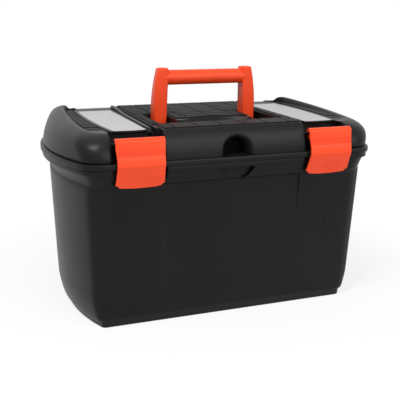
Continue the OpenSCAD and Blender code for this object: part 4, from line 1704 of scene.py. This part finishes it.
@dataclass
class Latch:
    """A latch: waisted, ribbed plate that hangs from its barrel, bows over the rim and ends in a dished tab.

    waist gives how far the plate's side is drawn in, and at what height. ridges gives the places of the ribs,
    as shares of the way from the shoulder to the belly. In the side view, brow and shoulder are distances out
    from the pin and up, belly and bend are distances out from the rim and up from the split, and tuck is how
    far in from the rim the tab ends.
    """

    skin: float = 3.0
    low_z: float = 170.5
    barrel_r: float = 6.0
    pin_r: float = 2.25
    hood_in: float = 8.0
    dish_r: float = 112.0
    dish_deep: float = 2.2
    lip_r: float = 130.0
    lip_in: float = 3.5
    ridge_r: float = 0.75
    ridges: tuple[float, ...] = (0.06, 0.2, 0.34, 0.48, 0.62)
    edge_r: float = 0.7
    brow: Flat = (12.0, 2.0)
    brow_r: Flat = (6.0, 6.4)
    brow_turn: float = 1.18
    shoulder: Flat = (18.0, -2.0)
    belly: Flat = (6.0, 11.0)
    bend: Flat = (6.8, 4.0)
    tuck: float = 5.0
    spare: float = 5.0
    rib_in: float = 1.8
    rib_sink: float = 0.05
    waist: Rows = ((0.1, 175.5), (0.5, 180.0), (0.95, 188.0), (1.2, 197.0), (1.2, 205.0), (0.8, 211.0),
                   (0.4, 216.0), (0.1, 222.0), (0.0, 240.0))
    tooth_low: Point = (-20.0, -134.6, 180.0)
    tooth_high: Point = (20.0, -129.6, 182.4)

    def outline(self) -> list[Flat]:
        """The plate seen from the front: drawn in at the waist, with a bowed lip between stepped corners.

        Returns:
            The outline's points in X and Z.
        """
        half, low = SIZES.latch_w / 2, self.low_z
        lip_half = half - self.lip_in
        lip = [(x, low + self.lip_r - math.sqrt(self.lip_r ** 2 - x ** 2))
               for x in spaced(-lip_half, lip_half, 17)]
        side = [(lip_half + 0.5, low + 4.2)] + [(half - inset, z) for inset, z in self.waist]
        return lip + side + [(-x, z) for x, z in reversed(side)]

    def hood(self, brow: Sequence[Flat], shoulder: Vector) -> Shape:
        """The barrel, with the roof and cheeks that reach from it to the plate.

        Args:
            brow: the plate's rounded upper edge in Y and Z.
            shoulder: the plate's corner below it.

        Returns:
            The closed hood, bored for its pin.
        """
        y0, z0, half = -SIZES.latch_y, SIZES.latch_z, SIZES.latch_w / 2
        inner = half - self.hood_in
        roof = [(brow[0][0] - 0.5, brow[0][1] - 0.5), (brow[-1][0] + self.skin - 1.2, brow[-1][1] - 2.0),
                (y0, z0 - 5.0), (y0, z0 + 5.0)]
        cheek = [(y + 0.8, z - 0.6) for y, z in brow]
        cheek += [(shoulder.x + 0.8, shoulder.y), (y0, z0 - 5.3), (y0, z0 + 5.3)]
        hood = Shape.prism(roof, -inner, inner, Axis.X)
        hood.combine(Combine.JOIN, Shape.rod(self.barrel_r, 0.02 - inner, inner - 0.02, y0, z0))
        for side in Side:
            hood.combine(Combine.JOIN, Shape.prism(cheek, inner - self.skin, inner - 0.01, Axis.X).on(side))
        bore = Shape.rod(self.pin_r, -half - self.spare, half + self.spare, y0, z0, 24)
        return hood.combine(Combine.CUT, bore)

    def dish(self, spot: Vector, along: Vector) -> Shape:
        """The ball that hollows the tab.

        Args:
            spot: where it cuts deepest, in Y and Z.
            along: the way the tab points.

        Returns:
            The ball.
        """
        outward = Vector((along.y, -along.x)).normalized()
        middle = spot + outward * (self.dish_r - self.dish_deep)
        ball = Shape()
        bmesh.ops.create_uvsphere(ball.bm, u_segments=200, v_segments=120, radius=self.dish_r,
                                  matrix=Matrix.Translation((0.0, middle.x, middle.y))
                                  @ Matrix.Rotation(math.pi / 2, 4, "Y"))
        return ball

    def plate(self) -> Shape:
        """The whole latch, drawn for the middle of the box.

        Returns:
            Plate, hood, ribs and tooth in one mesh.
        """
        y0, z0 = -SIZES.latch_y, SIZES.latch_z
        half = SIZES.latch_w / 2
        shoulder = Vector((y0 - self.shoulder[0], z0 + self.shoulder[1]))
        belly = Vector((-SIZES.rim_hy - self.belly[0], SIZES.split_z + self.belly[1]))
        bend = Vector((-SIZES.rim_hy - self.bend[0], SIZES.split_z + self.bend[1]))
        tuck = Vector((-SIZES.rim_hy + self.tuck, self.low_z))
        (out, up), (deep, tall) = self.brow, self.brow_r
        brow = [(y0 - out - deep * math.sin(a), z0 + up + tall * math.cos(a))
                for a in spaced(0.0, self.brow_turn, 8)]
        tip = tuck - bend
        below = tuck + tip.normalized() * 4.0
        front = eased([brow[-1], tuple(shoulder), tuple(belly), tuple(bend), tuple(below)],
                      [0.0, 2.0, 3.0, 1.2, 0.0], 4, closed=False)
        face = brow + front[1:]
        back = [(y + self.skin, z) for y, z in reversed(face[1:])]
        plate = Shape.prism(face + back, -half - self.spare, half + self.spare, Axis.X)
        plate.combine(Combine.KEEP, Shape.prism(self.outline(), -170.0, -100.0, Axis.Y))
        plate.cleaned()
        plate.soften(self.edge_r, 3, 55.0)
        plate.combine(Combine.CUT, self.dish(tuck, tip))
        plate.beside(self.hood(brow, shoulder))
        for t in self.ridges:
            spot = shoulder + (belly - shoulder) * t
            rib = Shape.rod(self.ridge_r, self.rib_in - half, half - self.rib_in, spot.x + self.rib_sink,
                            spot.y, 16)
            plate.beside(rib.soften(0.25, 2, 60.0))
        return plate.beside(Shape.box(self.tooth_low, self.tooth_high).soften(0.6, 2))

    def build(self, finishes: Finishes) -> None:
        """Makes both latches and dresses them.

        Args:
            finishes: the box's materials.
        """
        for side in Side:
            name = f"{side.word}_latch"
            plate = self.plate().moved(side.value * SIZES.latch_x)
            plate.placed(f"{name}_plate", name, finishes.orange, Slot.ORANGE, name, weighted=True)


@dataclass
class Hatch:
    """A hatch: black frame with a turned-down edge, hinged at the back, and a frosted window let into it."""

    skin: float = 2.2
    top_z: float = 230.0
    low_z: float = 226.4
    rim: float = 1.5
    barrel_r: float = 2.2
    pin_r: float = 1.4
    barrel_end: float = 140.5
    front_bow: float = 2.5
    window_bow: float = 2.25
    border_in: tuple[float, float] = (0.7, 4.0)
    border_out: float = 4.0
    border_back: float = 13.0
    window_deep: float = 0.9
    ledge: float = 3.0

    def plan(self, inner: Flat, ends: Flat, gap: float, bow: float) -> list[Flat]:
        """An outline with the hatch's bowed outer edge and a bowed front edge.

        Args:
            inner: X of the inner side, at the front and at the back.
            ends: distances from the middle to the back and to the front.
            gap: how far the outer edge is let out.
            bow: how far the front edge bows out.

        Returns:
            The outline's points, from the inner back corner round the outer side.
        """
        back, front = ends
        outer = [(SIZES.hatch_edge_x(y, gap), y) for y in spaced(back, -front, 30)]
        corner = outer[-1][0]
        edge = [(lerp(corner, inner[0], t), -front - 4.0 * bow * t * (1.0 - t))
                for t in spaced(0.0, 1.0, 25)[1:]]
        return [(inner[1], back)] + outer + edge

    def outline(self, gap: float, back: float, front: float) -> list[Flat]:
        """The plan of the right hatch, let out by a gap."""
        inner = SIZES.hatch_in - gap
        return self.plan((inner, inner), (back, front), gap, self.front_bow)

    def window_outline(self, gap: float) -> list[Flat]:
        """The plan of the right window, let out by a gap.

        Args:
            gap: how far it is let out.

        Returns:
            The outline's points.
        """
        inner, inner_back = (SIZES.hatch_in + border - gap for border in self.border_in)
        ends = (SIZES.hatch_y - self.border_back + gap, SIZES.hatch_front - 0.2 + gap)
        return self.plan((inner, inner_back), ends, gap - self.border_out, self.window_bow)

    def frame(self) -> Shape:
        """The right hatch's frame.

        Returns:
            The frame, with its barrel and pin.
        """
        whole = self.outline(0.0, SIZES.hatch_y, SIZES.hatch_front)
        panel = Shape.prism(whole, self.low_z, self.top_z, Axis.Z)
        panel.soften(0.5, 3, 40.0, above(self.top_z - 0.1))
        hollow = self.outline(-self.rim, SIZES.hatch_y + 50.0, SIZES.hatch_front + 50.0)
        panel.combine(Combine.CUT, Shape.prism(hollow, self.low_z - 5.0, self.top_z - self.skin, Axis.Z))
        panel.combine(Combine.CUT, Shape.prism(self.window_outline(0.0), self.top_z - self.window_deep,
                                               self.top_z + 5.0, Axis.Z))
        panel.combine(Combine.CUT, Shape.prism(self.window_outline(-self.ledge), self.low_z - 5.0,
                                               self.top_z - self.window_deep + 0.4, Axis.Z))
        y, z = SIZES.hatch_y, SIZES.hatch_axis_z
        barrel = Shape.rod(self.barrel_r, SIZES.hatch_in, self.barrel_end, y, z)
        pin = Shape.rod(self.pin_r, SIZES.bar_x - 3.6, self.barrel_end + 5.5, y, z, 24)
        return panel.combine(Combine.JOIN, barrel, pin)

    def window(self) -> Shape:
        """The right hatch's window.

        Returns:
            The closed pane.
        """
        low, high = self.top_z - self.window_deep + 0.02, self.top_z - 0.05
        pane = Shape.prism(self.window_outline(-0.1), low, high, Axis.Z)
        return pane.soften(0.25, 2, 40.0, above(self.top_z - 0.2))

    def build(self, finishes: Finishes) -> None:
        """Makes both hatches and dresses them.

        Args:
            finishes: the box's materials.
        """
        for side in Side:
            name = f"{side.word}_hatch"
            rim, pane = self.frame().on(side), self.window().on(side)
            rim.placed(f"{name}_frame", name, finishes.black, Slot.BODY, name, weighted=True)
            pane.placed(f"{name}_window", name, finishes.hatch, Slot.HATCH, weighted=True)


@dataclass
class Pins:
    """The steel pins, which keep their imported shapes."""

    nodes: tuple[str, ...] = ("left_hinge_pin", "right_hinge_pin", "left_handle_pin", "right_handle_pin",
                              "left_latch_pin", "right_latch_pin")

    def build(self, finishes: Finishes) -> None:
        """Dresses the pins.

        Args:
            finishes: the box's materials.
        """
        for name in self.nodes:
            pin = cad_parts[name]
            pin.data.materials.clear()
            pin.data.materials.append(finishes.steel)
            LOG.info("%s keeps its packed shape", name)


@dataclass(frozen=True)
class Lamp:
    """One soft rectangular lamp: place and size in metres, power in watts."""

    name: str
    spot: Point
    wide: float
    high: float
    power: float


@dataclass
class Studio:
    """Camera, lamps, world and floor."""

    eye: Point = (-0.2814, -0.8077, 0.3419)
    yaw: float = 0.3359
    pitch: float = 0.2593
    lens: float = 59.54
    sensor: float = 36.0
    aim: Point = (0.0, 0.0, 0.13)
    lamps: tuple[Lamp, ...] = (Lamp("lamp_left", (-0.6, -0.57, 1.3), 0.4, 0.4, 13.5),
                               Lamp("lamp_top", (0.1, 0.1, 1.6), 1.6, 1.2, 1.5),
                               Lamp("lamp_front", (0.48, -1.4, 0.85), 1.2, 0.7, 11.5))
    world_level: float = 0.34
    floor_half: float = 30.0
    floor_tone: Colour = (0.92, 0.92, 0.92, 1.0)
    floor_fade: Flat = (0.2, 0.42)
    floor_near: float = 0.8
    floor_far: float = 1.0

    def build(self) -> None:
        """Sets up everything round the box."""
        scene = bpy.context.scene
        scene.view_settings.view_transform = "Standard"
        camera = bpy.data.objects.new("camera", bpy.data.cameras.new("camera"))
        camera.data.lens, camera.data.sensor_width = self.lens, self.sensor
        camera.data.sensor_fit = "HORIZONTAL"
        camera.location = self.eye
        camera.rotation_euler = (math.pi / 2 - self.pitch, 0.0, -self.yaw)
        scene.collection.objects.link(camera)
        scene.camera = camera
        for lamp in self.lamps:
            self.light(lamp)
        self.world(scene)
        self.floor()

    def light(self, lamp: Lamp) -> None:
        """Sets up one lamp, aimed at the middle of the box.

        Args:
            lamp: its place, size and power.
        """
        data = bpy.data.lights.new(lamp.name, "AREA")
        data.shape, data.size, data.size_y, data.energy = "RECTANGLE", lamp.wide, lamp.high, lamp.power
        thing = bpy.data.objects.new(lamp.name, data)
        thing.location = lamp.spot
        thing.rotation_euler = (Vector(self.aim) - Vector(lamp.spot)).to_track_quat("-Z", "Y").to_euler()
        bpy.context.scene.collection.objects.link(thing)

    def world(self, scene: bpy.types.Scene) -> None:
        """A white surround for the camera and for reflections, softer as a light.

        Args:
            scene: the scene that gets it.
        """
        scene.world = bpy.data.worlds.new("surround")
        graph = Graph(scene.world)
        level = graph.between(graph.seen(), 0.0, 1.0, self.world_level, 1.0)
        sky = graph.add("ShaderNodeBackground", {}, {"Color": (1.0, 1.0, 1.0, 1.0), "Strength": level})
        graph.ended(sky, "ShaderNodeOutputWorld")

    def floor(self) -> None:
        """A white floor that keeps a soft shadow of the box."""
        shape = Shape()
        bmesh.ops.create_grid(shape.bm, x_segments=1, y_segments=1, size=self.floor_half)
        mesh = bpy.data.meshes.new("floor")
        shape.bm.to_mesh(mesh)
        shape.bm.free()
        graph = Graph.of_material("floor_white")
        matt = graph.add("ShaderNodeBsdfDiffuse", {}, {"Color": self.floor_tone})
        glow = graph.add("ShaderNodeEmission", {}, {"Color": (1.0, 1.0, 1.0, 1.0), "Strength": 1.0})
        far = graph.add("ShaderNodeVectorMath", {"operation": "LENGTH"}, {0: graph.place()}, output="Value")
        white = graph.seen() * graph.between(far, *self.floor_fade, self.floor_near, self.floor_far)
        mixed = graph.add("ShaderNodeMixShader", {}, {0: white, 1: matt, 2: glow})
        mesh.materials.append(graph.ended(mixed))
        floor = bpy.data.objects.new("floor", mesh)
        bpy.context.scene.collection.objects.link(floor)


def main() -> None:
    """Builds the box piece by piece and sets up the studio."""
    logging.basicConfig(level=logging.INFO, format="%(message)s")
    finishes = Finishes.made()
    for part in (Tub(), Tray(), Lid(), Handle(), Latch(), Hatch(), Pins()):
        part.build(finishes)
    Studio().build()


if __name__ == "__main__":
    main()
